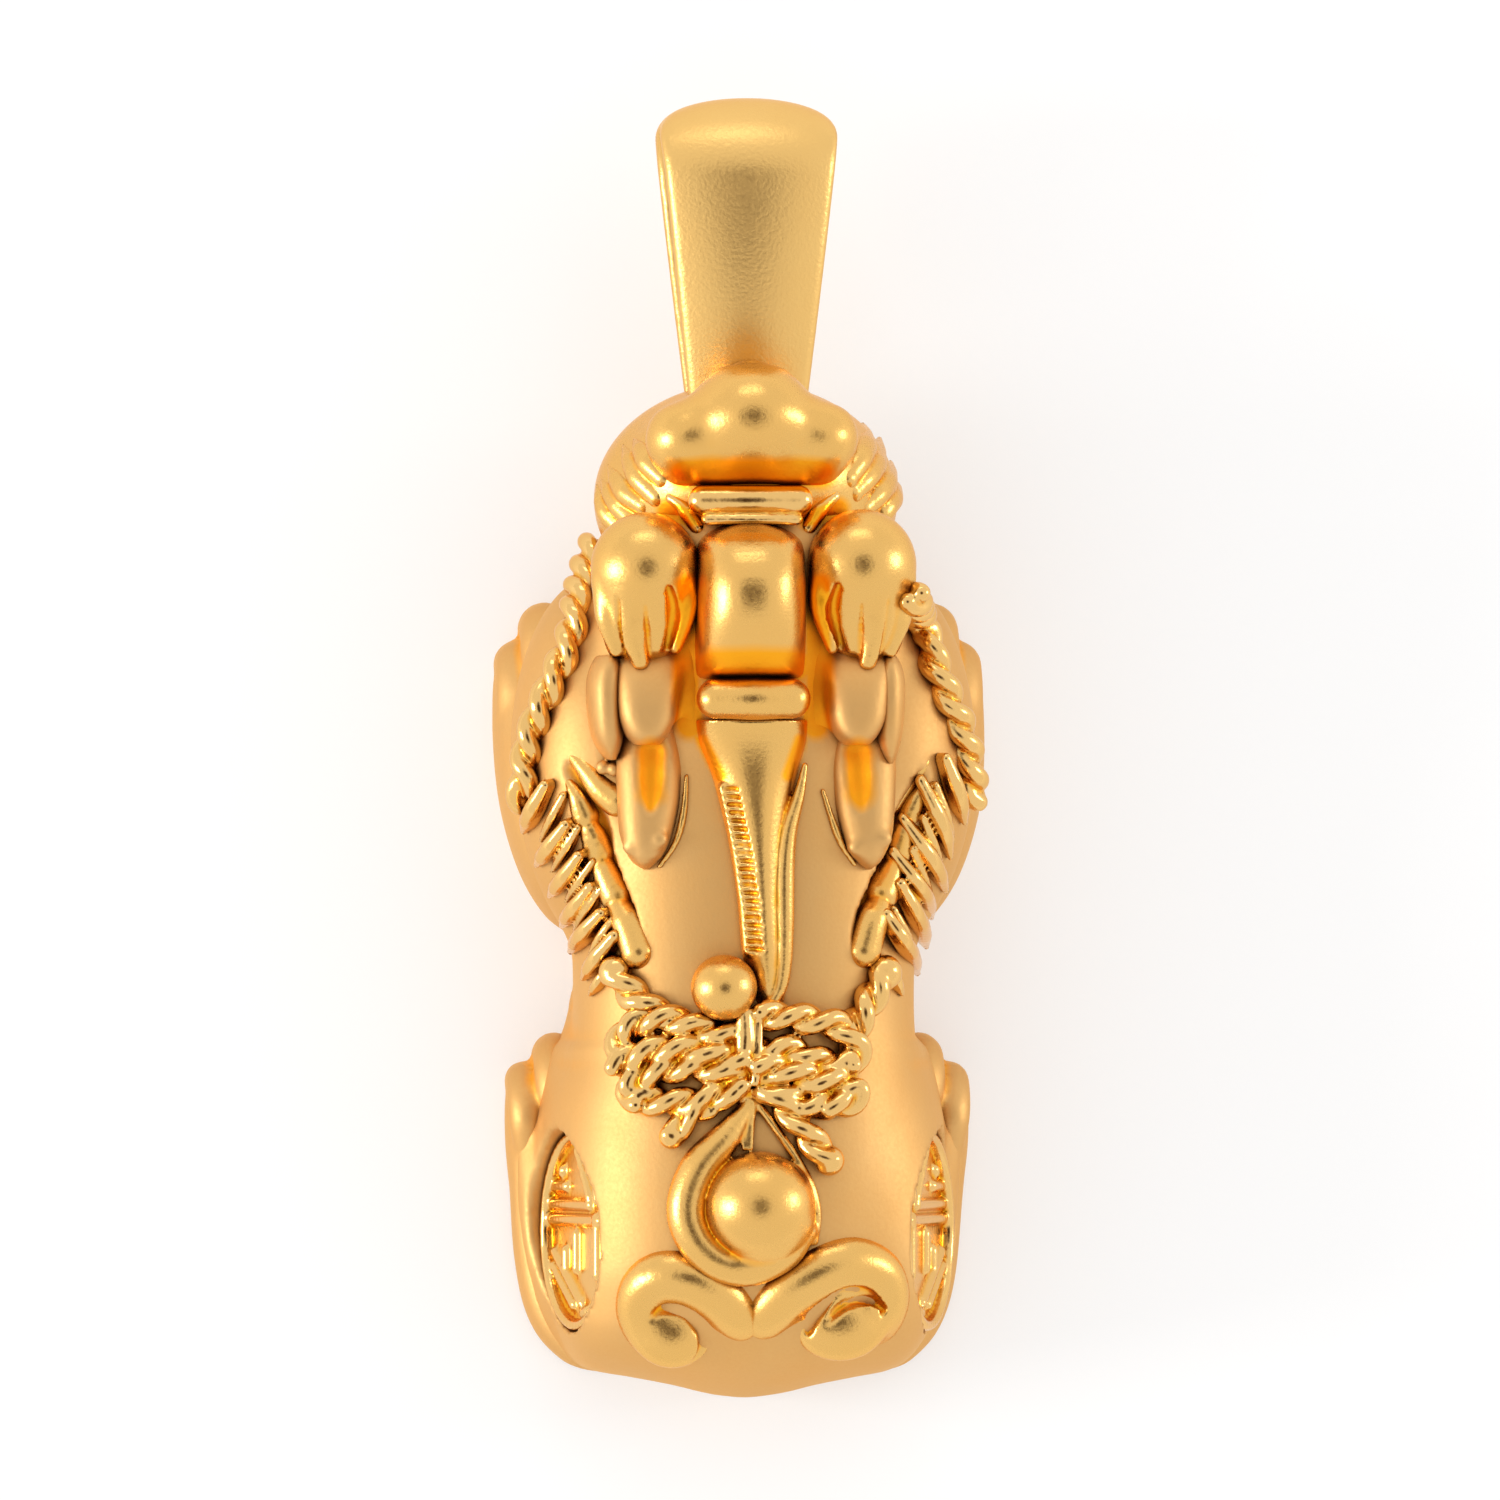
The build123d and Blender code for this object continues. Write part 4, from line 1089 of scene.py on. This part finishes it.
# Twisted ropes over the shoulders, ending under the wings, and at the waist
ropes = {
    "voxel": 0.050,
    "room": 0.8,
    "radius": 0.34,
    "lift": 0.12,
    "besideSkin": 3.0,  # mm, the height of a point that misses the skin
    "strands": 2,
    "orbit": 0.48,  # how far a strand's middle turns from the rope's, in radii
    "strandRadius": 0.56,  # in radii
    "steps": 12,  # to a pitch
    "blend": 0.03,
    "pitches": {"shoulder": 0.68, "waist": 0.62},
    "ends": {"shoulder": (-1, 0.24), "waist": (0, 0.34)},  # which end is round, its radius
    "shoulder": {
        "left": [(594, 545), (587, 580), (580, 612), (574, 642), (563, 672), (551, 700), (540, 728),
                 (533, 757), (532, 782), (524, 798)],
        "right": [(909, 598), (917, 625), (925, 652), (934, 678), (945, 704), (956, 730), (963, 757),
                  (966, 780), (968, 797)],
    },
    "waist": {
        "left": [(620, 970), (632, 988), (650, 1005), (672, 1022)],
        "right": [(880, 970), (870, 990), (858, 1012), (846, 1035)],
    },
}


def rope(clay, points, radius, pitch, turnStart=0.0):
    strands = ropes["strands"]
    line = smoothPath(points, pitch / ropes["steps"])
    steps = np.linalg.norm(np.diff(line, axis=0), axis=1)
    travel = np.concatenate([[0], np.cumsum(steps)])
    ahead = np.gradient(line, axis=0)
    ahead /= np.linalg.norm(ahead, axis=1)[:, None]
    side = np.cross(ahead, (0, 0, 1))
    side /= np.linalg.norm(side, axis=1)[:, None]
    above = np.cross(side, ahead)
    for number in range(strands):
        angle = (2 * pi * (travel / (pitch * strands) + number / strands) + turnStart)[:, None]
        helix = line + (side * np.cos(angle) + above * np.sin(angle)) * radius * ropes["orbit"]
        strand(clay, helix, radius * ropes["strandRadius"], ropes["blend"], straight=True)


def makeRopes():
    for place in ("shoulder", "waist"):
        for word in sides:
            path = seats(ropes[place][word], ropes["lift"], ropes["besideSkin"])
            clay = clayOver(path, ropes["voxel"], ropes["room"])
            rope(clay, path, ropes["radius"], ropes["pitches"][place])
            end, radius = ropes["ends"][place]
            egg(clay, path[end], radius)
            cast(clay, place + "_rope_" + word, "brightGold")


# Wings: an inner band of overlapping pieces, with a fringe of curved feathers
wing = {
    "voxel": 0.050,
    "room": 0.6,
    "left": {
        "scales": [  # pieces of the inner band, in pixels
            [(570, 780), (578, 796), (588, 814)],
            [(584, 812), (592, 830), (601, 850)],
            [(598, 848), (606, 870), (617, 892)],
            [(613, 890), (628, 920), (636, 950)],
        ],
        "broad": [  # root and tip of each feather, in pixels
            ((553, 784), (527, 831)), ((572, 822), (540, 864)), ((585, 852), (553, 894)),
            ((597, 884), (565, 924)), ((609, 912), (574, 951)), ((621, 934), (587, 978)),
        ],
        "narrow": [
            ((567, 794), (543, 840)), ((581, 826), (554, 870)), ((594, 860), (568, 900)),
            ((604, 888), (576, 931)), ((619, 912), (591, 958)), ((612, 966), (592, 994)),
        ],
    },
    "right": {
        "scales": [
            [(925, 782), (916, 797), (907, 814)],
            [(909, 812), (902, 830), (895, 850)],
            [(898, 848), (890, 870), (881, 890)],
            [(884, 888), (872, 918), (866, 950)],
        ],
        "broad": [
            ((938, 758), (961, 822)), ((921, 780), (947, 856)), ((908, 820), (943, 890)),
            ((898, 852), (932, 918)), ((893, 882), (927, 947)), ((880, 914), (918, 974)),
        ],
        "narrow": [
            ((932, 784), (951, 841)), ((920, 816), (940, 868)), ((909, 848), (930, 899)),
            ((900, 878), (923, 928)), ((889, 908), (912, 957)), ((884, 960), (900, 994)),
        ],
    },
    "scaleRadii": [(0.10, 0.20, 0.29), (0.12, 0.25, 0.35), (0.14, 0.28, 0.37), (0.16, 0.34, 0.36)],
    "scaleLifts": (-0.08, -0.03, -0.10),
    "scaleBlend": 0.01,
    "bulge": 3,  # pixels that a feather bows out
    "sinks": (0.14, 0),  # a foot under each blade
    "besideSkin": 1.8,
    "broadRadii": (0.12, 0.17, 0.16, 0.06),
    "narrowRadii": (0.08, 0.11, 0.10, 0.05),
    "broadLifts": (0.20, 0.24, 0.08),
    "narrowLifts": (0.10, 0.15, 0.04),
    "blend": 0.012,
}


def makeWing(word):
    shape = wing[word]
    outward, bulge = sides[word], wing["bulge"]
    scales = [seats(scale, wing["scaleLifts"]) for scale in shape["scales"]]
    paths = []
    for kind in ("broad", "narrow"):
        for root, tip in shape[kind]:
            bend = (root[0] + tip[0] - outward * bulge) / 2, (root[1] + tip[1] + bulge) / 2
            for sink in wing["sinks"]:
                path = seats((root, bend, tip), np.array(wing[kind + "Lifts"]) - sink, wing["besideSkin"])
                paths.append((path, wing[kind + "Radii"]))
    clay = clayOver([path for path, _ in paths] + scales, wing["voxel"], wing["room"])
    for path, radii in paths:
        strand(clay, path, radii, wing["blend"])
    cast(clay, "wing_" + word, "brightGold")
    clay = clayOver(scales, wing["voxel"], wing["room"])
    for scale, radii in zip(scales, wing["scaleRadii"]):
        strand(clay, scale, radii, wing["scaleBlend"])
    cast(clay, "wing_band_" + word, "satinGold")


# Bow of rope with a smooth knot and a bead on top
bow = {
    "voxel": 0.050,
    "below": 0.7,
    "above": (0.7, 0.7, 1.0),
    "radius": 0.32,
    "pitch": 0.68,
    "turnStep": 1.3,  # how far each rope is turned on from the last
    "strands": [  # lift, then the rope's way in pixels
        (0.26, [(738, 1036), (712, 1030), (690, 1022), (664, 1018), (640, 1024), (629, 1040), (628, 1058)]),
        (0.34, [(742, 1060), (716, 1056), (690, 1049), (662, 1050), (640, 1058), (627, 1068)]),
        (0.26, [(744, 1078), (716, 1068), (690, 1066), (664, 1070), (640, 1080), (634, 1090), (646, 1099)]),
        (0.18, [(742, 1090), (718, 1094), (694, 1100), (668, 1101), (644, 1097)]),
        (0.30, [(758, 1014), (782, 1014), (806, 1018), (828, 1022), (842, 1034), (849, 1050), (846, 1066)]),
        (0.20, [(758, 1050), (784, 1048), (806, 1056), (828, 1064), (842, 1062)]),
        (0.30, [(756, 1066), (784, 1070), (808, 1078), (832, 1082), (850, 1086), (842, 1100), (822, 1102)]),
        (0.18, [(760, 1084), (784, 1096), (808, 1104), (824, 1102)]),
    ],
    "tails": [  # radius, then the way
        (0.27, [(708, 1104), (690, 1116), (674, 1134)]),
        (0.32, [(766, 1084), (790, 1112), (808, 1136), (826, 1158)]),
    ],
    "tailLift": 0.2,
    "tailPitch": 1.1,  # in pitches
    "tailEnd": 0.95,  # in radii
    "knot": [
        ([(743, 1012), (744, 1036), (742, 1062)], (0.17, 0.22, 0.16)),
        ([(757, 1014), (756, 1048), (754, 1082)], (0.10, 0.12, 0.09)),
    ],
    "knotLift": 0.42,
    "blend": 0.03,
    "bead": {"place": (724, 985), "radius": 0.66, "lift": 0.42, "voxel": 0.05, "room": 0.9, "smoothing": 2},
}


def makeBow():
    paths = [seats(way, lift) for lift, way in bow["strands"]]
    tails = [seats(way, bow["tailLift"]) for _, way in bow["tails"]]
    clay = clayOver(paths + tails, bow["voxel"], bow["below"], bow["above"])
    for number, path in enumerate(paths):
        rope(clay, path, bow["radius"], bow["pitch"], turnStart=number * bow["turnStep"])
    for path, (radius, _) in zip(tails, bow["tails"]):
        rope(clay, path, radius, bow["pitch"] * bow["tailPitch"])
        egg(clay, path[-1], radius * bow["tailEnd"], bow["blend"])
    for way, radii in bow["knot"]:
        strand(clay, seats(way, bow["knotLift"]), radii, bow["blend"])
    cast(clay, "rope_bow", "brightGold")
    bead = bow["bead"]
    middle = seat(*bead["place"], bead["lift"])
    clay = clayOver([middle], bead["voxel"], bead["room"])
    egg(clay, middle, bead["radius"])
    cast(clay, "bow_bead", "satinGold", bead["smoothing"])


# Tail: a comma that curls round a ball
tail = {
    "voxel": 0.05,
    "below": 1.2,
    "above": 1.4,
    "ball": (759, 1203),
    "ballRadius": 1.09,
    "ballLift": 0.10,
    "swirl": [(746, 1106), (726, 1134), (700, 1166), (688, 1204), (697, 1236), (720, 1257), (752, 1263),
              (785, 1250), (806, 1228)],
    "swirlRadii": (0.16, 0.32, 0.40, 0.41, 0.41, 0.41, 0.38, 0.32, 0.20),
    "swirlLift": 0.10,
    "trims": [  # way, lift, radii, blend; the first is where swirl and ball run together
        ([(750, 1250), (774, 1240), (795, 1222)], 0.25, (0.14, 0.34, 0.22), 0.35),
        ([(756, 1100), (778, 1130), (797, 1158), (811, 1186), (816, 1212), (813, 1238)], 0.08, 0.09, 0.04),
        ([(746, 1096), (744, 1146)], 0.14, (0.09, 0.06), 0.03),
        ([(752, 1100), (750, 1146)], 0.14, (0.09, 0.06), 0.03),
    ],
    "blend": 0.03,
}


def makeTail():
    middle = seat(*tail["ball"], tail["ballLift"])
    swirl = seats(tail["swirl"], tail["swirlLift"])
    clay = clayOver(swirl, tail["voxel"], tail["below"], tail["above"])
    egg(clay, middle, tail["ballRadius"])
    strand(clay, swirl, tail["swirlRadii"], tail["blend"])
    for way, lift, radii, blend in tail["trims"]:
        strand(clay, seats(way, lift), radii, blend)
    cast(clay, "tail_swirl", "satinGold")


# Cloud scrolls on the rump, each curling round its eye
scrolls = {
    "voxel": 0.060,
    "room": 1.0,
    "left": {
        "path": [(748, 1346), (738, 1318), (715, 1293), (689, 1278), (662, 1276), (644, 1290), (638, 1314),
                 (646, 1342), (668, 1360)],
        "eye": (671, 1334),
        "eyeHalf": (0.80, 0.72, 0.48),
        "grooves": [  # way in pixels, radius
            ([(652, 1315), (662, 1306), (676, 1304), (690, 1309), (705, 1329), (703, 1347),
              (695, 1358)], 0.15),
        ],
    },
    "right": {
        "path": [(757, 1346), (767, 1317), (791, 1291), (822, 1271), (852, 1262), (878, 1273), (889, 1300),
                 (882, 1332), (860, 1354)],
        "eye": (842, 1323),
        "eyeHalf": (0.95, 0.78, 0.48),
        "grooves": [
            ([(808, 1330), (817, 1306), (838, 1291), (859, 1289), (872, 1295), (884, 1306)], 0.16),
            ([(826, 1321), (838, 1306), (856, 1298), (875, 1301), (882, 1311)], 0.10),
        ],
    },
    "radii": (0.46, 0.54, 0.57, 0.58, 0.58, 0.56, 0.54, 0.50, 0.40),
    "lifts": (-0.72, -0.36, -0.22, -0.18, -0.18, -0.22, -0.28, -0.42, -0.52),
    "eyeLift": -0.16,
    "eyeBlend": 0.3,
    "grooveShares": (0.4, 1, 1, 1, 0.4),
    "smoothing": 3,
}


def makeScroll(word):
    shape = scrolls[word]
    path = seats(shape["path"], scrolls["lifts"])
    clay = clayOver(path, scrolls["voxel"], scrolls["room"])
    strand(clay, path, scrolls["radii"])
    egg(clay, seat(*shape["eye"], scrolls["eyeLift"]), shape["eyeHalf"], scrolls["eyeBlend"])
    for groove, radius in shape["grooves"]:
        line = [onClay(clay, px, py) for px, py in groove]
        strand(clay, line, np.array(scrolls["grooveShares"]) * radius, cut=True)
    cast(clay, "cloud_scroll_" + word, "satinGold", scrolls["smoothing"])


# Bail: a teardrop of strap, wide and round at the top, soldered to the jaw
bail = {
    "voxel": 0.066,
    "length": 5.7,
    "jawFront": 10.343,
    "sink": 0.7,
    "depth": 3.3,
    "footDepth": 1.9,
    "wall": 0.7,
    "crown": 0.30,
    "width": 3.54,
    "footWidth": 2.3,
    "archRise": 0.82,  # height of the arched top, seen from the front
    "archSquare": 2.2,
    "middleZ": 3.906,
    "edgeRound": 0.14,
    "clayHalf": (2.1, 2.2),  # across and up
    "room": 0.3,
    "blend": 0.01,
    "smoothing": 2,
}


def makeBail():
    top = bail["jawFront"] + bail["length"]
    foot = bail["jawFront"] - bail["sink"]
    loop = top - bail["depth"] / 2
    (across, tall), middle, room = bail["clayHalf"], bail["middleZ"], bail["room"]
    clay = newClay((-across, foot - room, middle - tall), (across, top + room, middle + tall), bail["voxel"])
    first, last = whole(clay)
    x, y, z = coordinates(clay, first, last)
    share = np.sin(np.clip((y - foot) / (loop - foot), 0, 1) * pi / 2)
    radius = bail["footDepth"] / 2 + share * (bail["depth"] - bail["footDepth"]) / 2
    outline = np.sqrt((y - np.clip(y, foot, loop)) ** 2 + (z - middle) ** 2) - radius  # side view
    shoulder = top - bail["archRise"]
    widening = np.clip((y - foot) / (shoulder - foot), 0, 1)
    half = (bail["footWidth"] + widening * (bail["width"] - bail["footWidth"])) / 2
    crown = bail["crown"] * (1 - np.clip(np.abs(x) / half, 0, 1) ** 2)
    strap = np.maximum(outline + bail["crown"] - crown, -(outline + bail["wall"]))
    rise, square = bail["archRise"], bail["archSquare"]
    past = np.maximum(y - shoulder, 0) / rise
    front = ((np.abs(x) / half) ** square + past**square) ** (1 / square)  # front view, with an arched top
    front = (front - 1) * np.where(past > 0, rise, half)
    near = np.maximum(bail["edgeRound"] - np.abs(strap - front), 0)
    value = np.maximum(strap, front) + near**2 / (4 * bail["edgeRound"])
    join(clay, first, last, np.maximum(value, foot - y), bail["blend"])
    cast(clay, "bail", "pittedGold", bail["smoothing"])


makeTorso()
for word in sides:
    makeLeg("hind_paw", hindPaw, word)
    makeLeg("foreleg", foreleg, word)
    makeMedallion(word)
makeJaw()
makeNose()
makeFace()
for word in sides:
    makeBrow(word)
    makeHorn(word)
makeMane()
makeRopes()
for word in sides:
    makeWing(word)
makeBow()
makeTail()
for word in sides:
    makeScroll(word)
makeBail()
print("beast made")


# Pale floor, three softboxes and a soft surround with a darker patch straight above
studio = {
    "floorSize": 0.8,
    "floorColour": (0.58, 0.58, 0.58),
    "floorRough": 0.6,
    "floorShine": 0.2,
    "floorGlow": 0.41,
    "surround": (1.0, 1.0, 1.0),
    "overhead": (0.060, 0.028, 0.010),
    "overheadFrom": 0.915,  # 1 is straight above
    "overheadFull": 0.995,
    "boxes": [  # name, place in mm, size in mm, watts
        ("leftBox", (-260, -15, 90), (90, 130), 0.36),
        ("rightBox", (270, 40, 80), (70, 100), 0.14),
        ("topBox", (-20, 260, 110), (160, 50), 0.05),
    ],
}


def makeFloor():
    size = studio["floorSize"] / 2
    mesh = bpy.data.meshes.new("floor")
    corners = [(-size, -size, 0), (size, -size, 0), (size, size, 0), (-size, size, 0)]
    mesh.from_pydata(corners, [], [(0, 1, 2, 3)])
    floor = bpy.data.objects.new("floor", mesh)
    bpy.context.scene.collection.objects.link(floor)
    paper = bpy.data.materials.new("paleFloor")
    paper.use_nodes = True
    shader = paper.node_tree.nodes["Principled BSDF"]
    shader.inputs["Base Color"].default_value = (*studio["floorColour"], 1)
    shader.inputs["Roughness"].default_value = studio["floorRough"]
    shader.inputs["Specular IOR Level"].default_value = studio["floorShine"]
    shader.inputs["Emission Color"].default_value = (1, 1, 1, 1)
    shader.inputs["Emission Strength"].default_value = studio["floorGlow"]
    mesh.materials.append(paper)


def makeLights():
    for name, place, (wide, tall), watts in studio["boxes"]:
        light = bpy.data.lights.new(name, "AREA")
        light.shape = "RECTANGLE"
        light.size, light.size_y = wide * mm, tall * mm
        light.energy = watts
        box = bpy.data.objects.new(name, light)
        box.location = Vector(place) * mm
        box.rotation_euler = (-box.location).to_track_quat("-Z", "Y").to_euler()
        box.visible_camera = False
        bpy.context.scene.collection.objects.link(box)
    world = bpy.data.worlds.new("surround")
    bpy.context.scene.world = world
    world.use_nodes = True
    tree = world.node_tree
    back = tree.nodes["Background"]
    split = tree.nodes.new("ShaderNodeSeparateXYZ")
    tree.links.new(tree.nodes.new("ShaderNodeTexCoord").outputs["Generated"], split.inputs[0])
    ramp = tree.nodes.new("ShaderNodeMapRange")
    ramp.interpolation_type = "SMOOTHSTEP"
    ramp.inputs["From Min"].default_value = studio["overheadFrom"]
    ramp.inputs["From Max"].default_value = studio["overheadFull"]
    tree.links.new(split.outputs["Z"], ramp.inputs["Value"])
    sky = mixNode(tree, ramp.outputs["Result"], studio["surround"], studio["overhead"])
    tree.links.new(sky, back.inputs["Color"])
    back.inputs["Strength"].default_value = 1
    bpy.context.scene.view_settings.view_transform = "Standard"


def makeCamera():
    data = bpy.data.cameras.new("camera")
    camera = bpy.data.objects.new("camera", data)
    bpy.context.scene.collection.objects.link(camera)
    bpy.context.scene.camera = camera
    back = Vector((-photo["lean"], 0, 1)).normalized()
    middle = Vector(spot(photo["size"] / 2, photo["size"] / 2, photo["originZ"])) * mm
    camera.location = middle + back * photo["distance"] * mm
    ahead = Vector((0, 1, 0))
    camera.rotation_euler = Matrix((ahead.cross(back), ahead, back)).transposed().to_euler()
    data.sensor_width = photo["sensor"]
    data.lens = photo["sensor"] * photo["distance"] * photo["pixelsPerMm"] / photo["size"]
    data.clip_start, data.clip_end = photo["clip"]


makeFloor()
makeLights()
makeCamera()
print("studio and camera made")
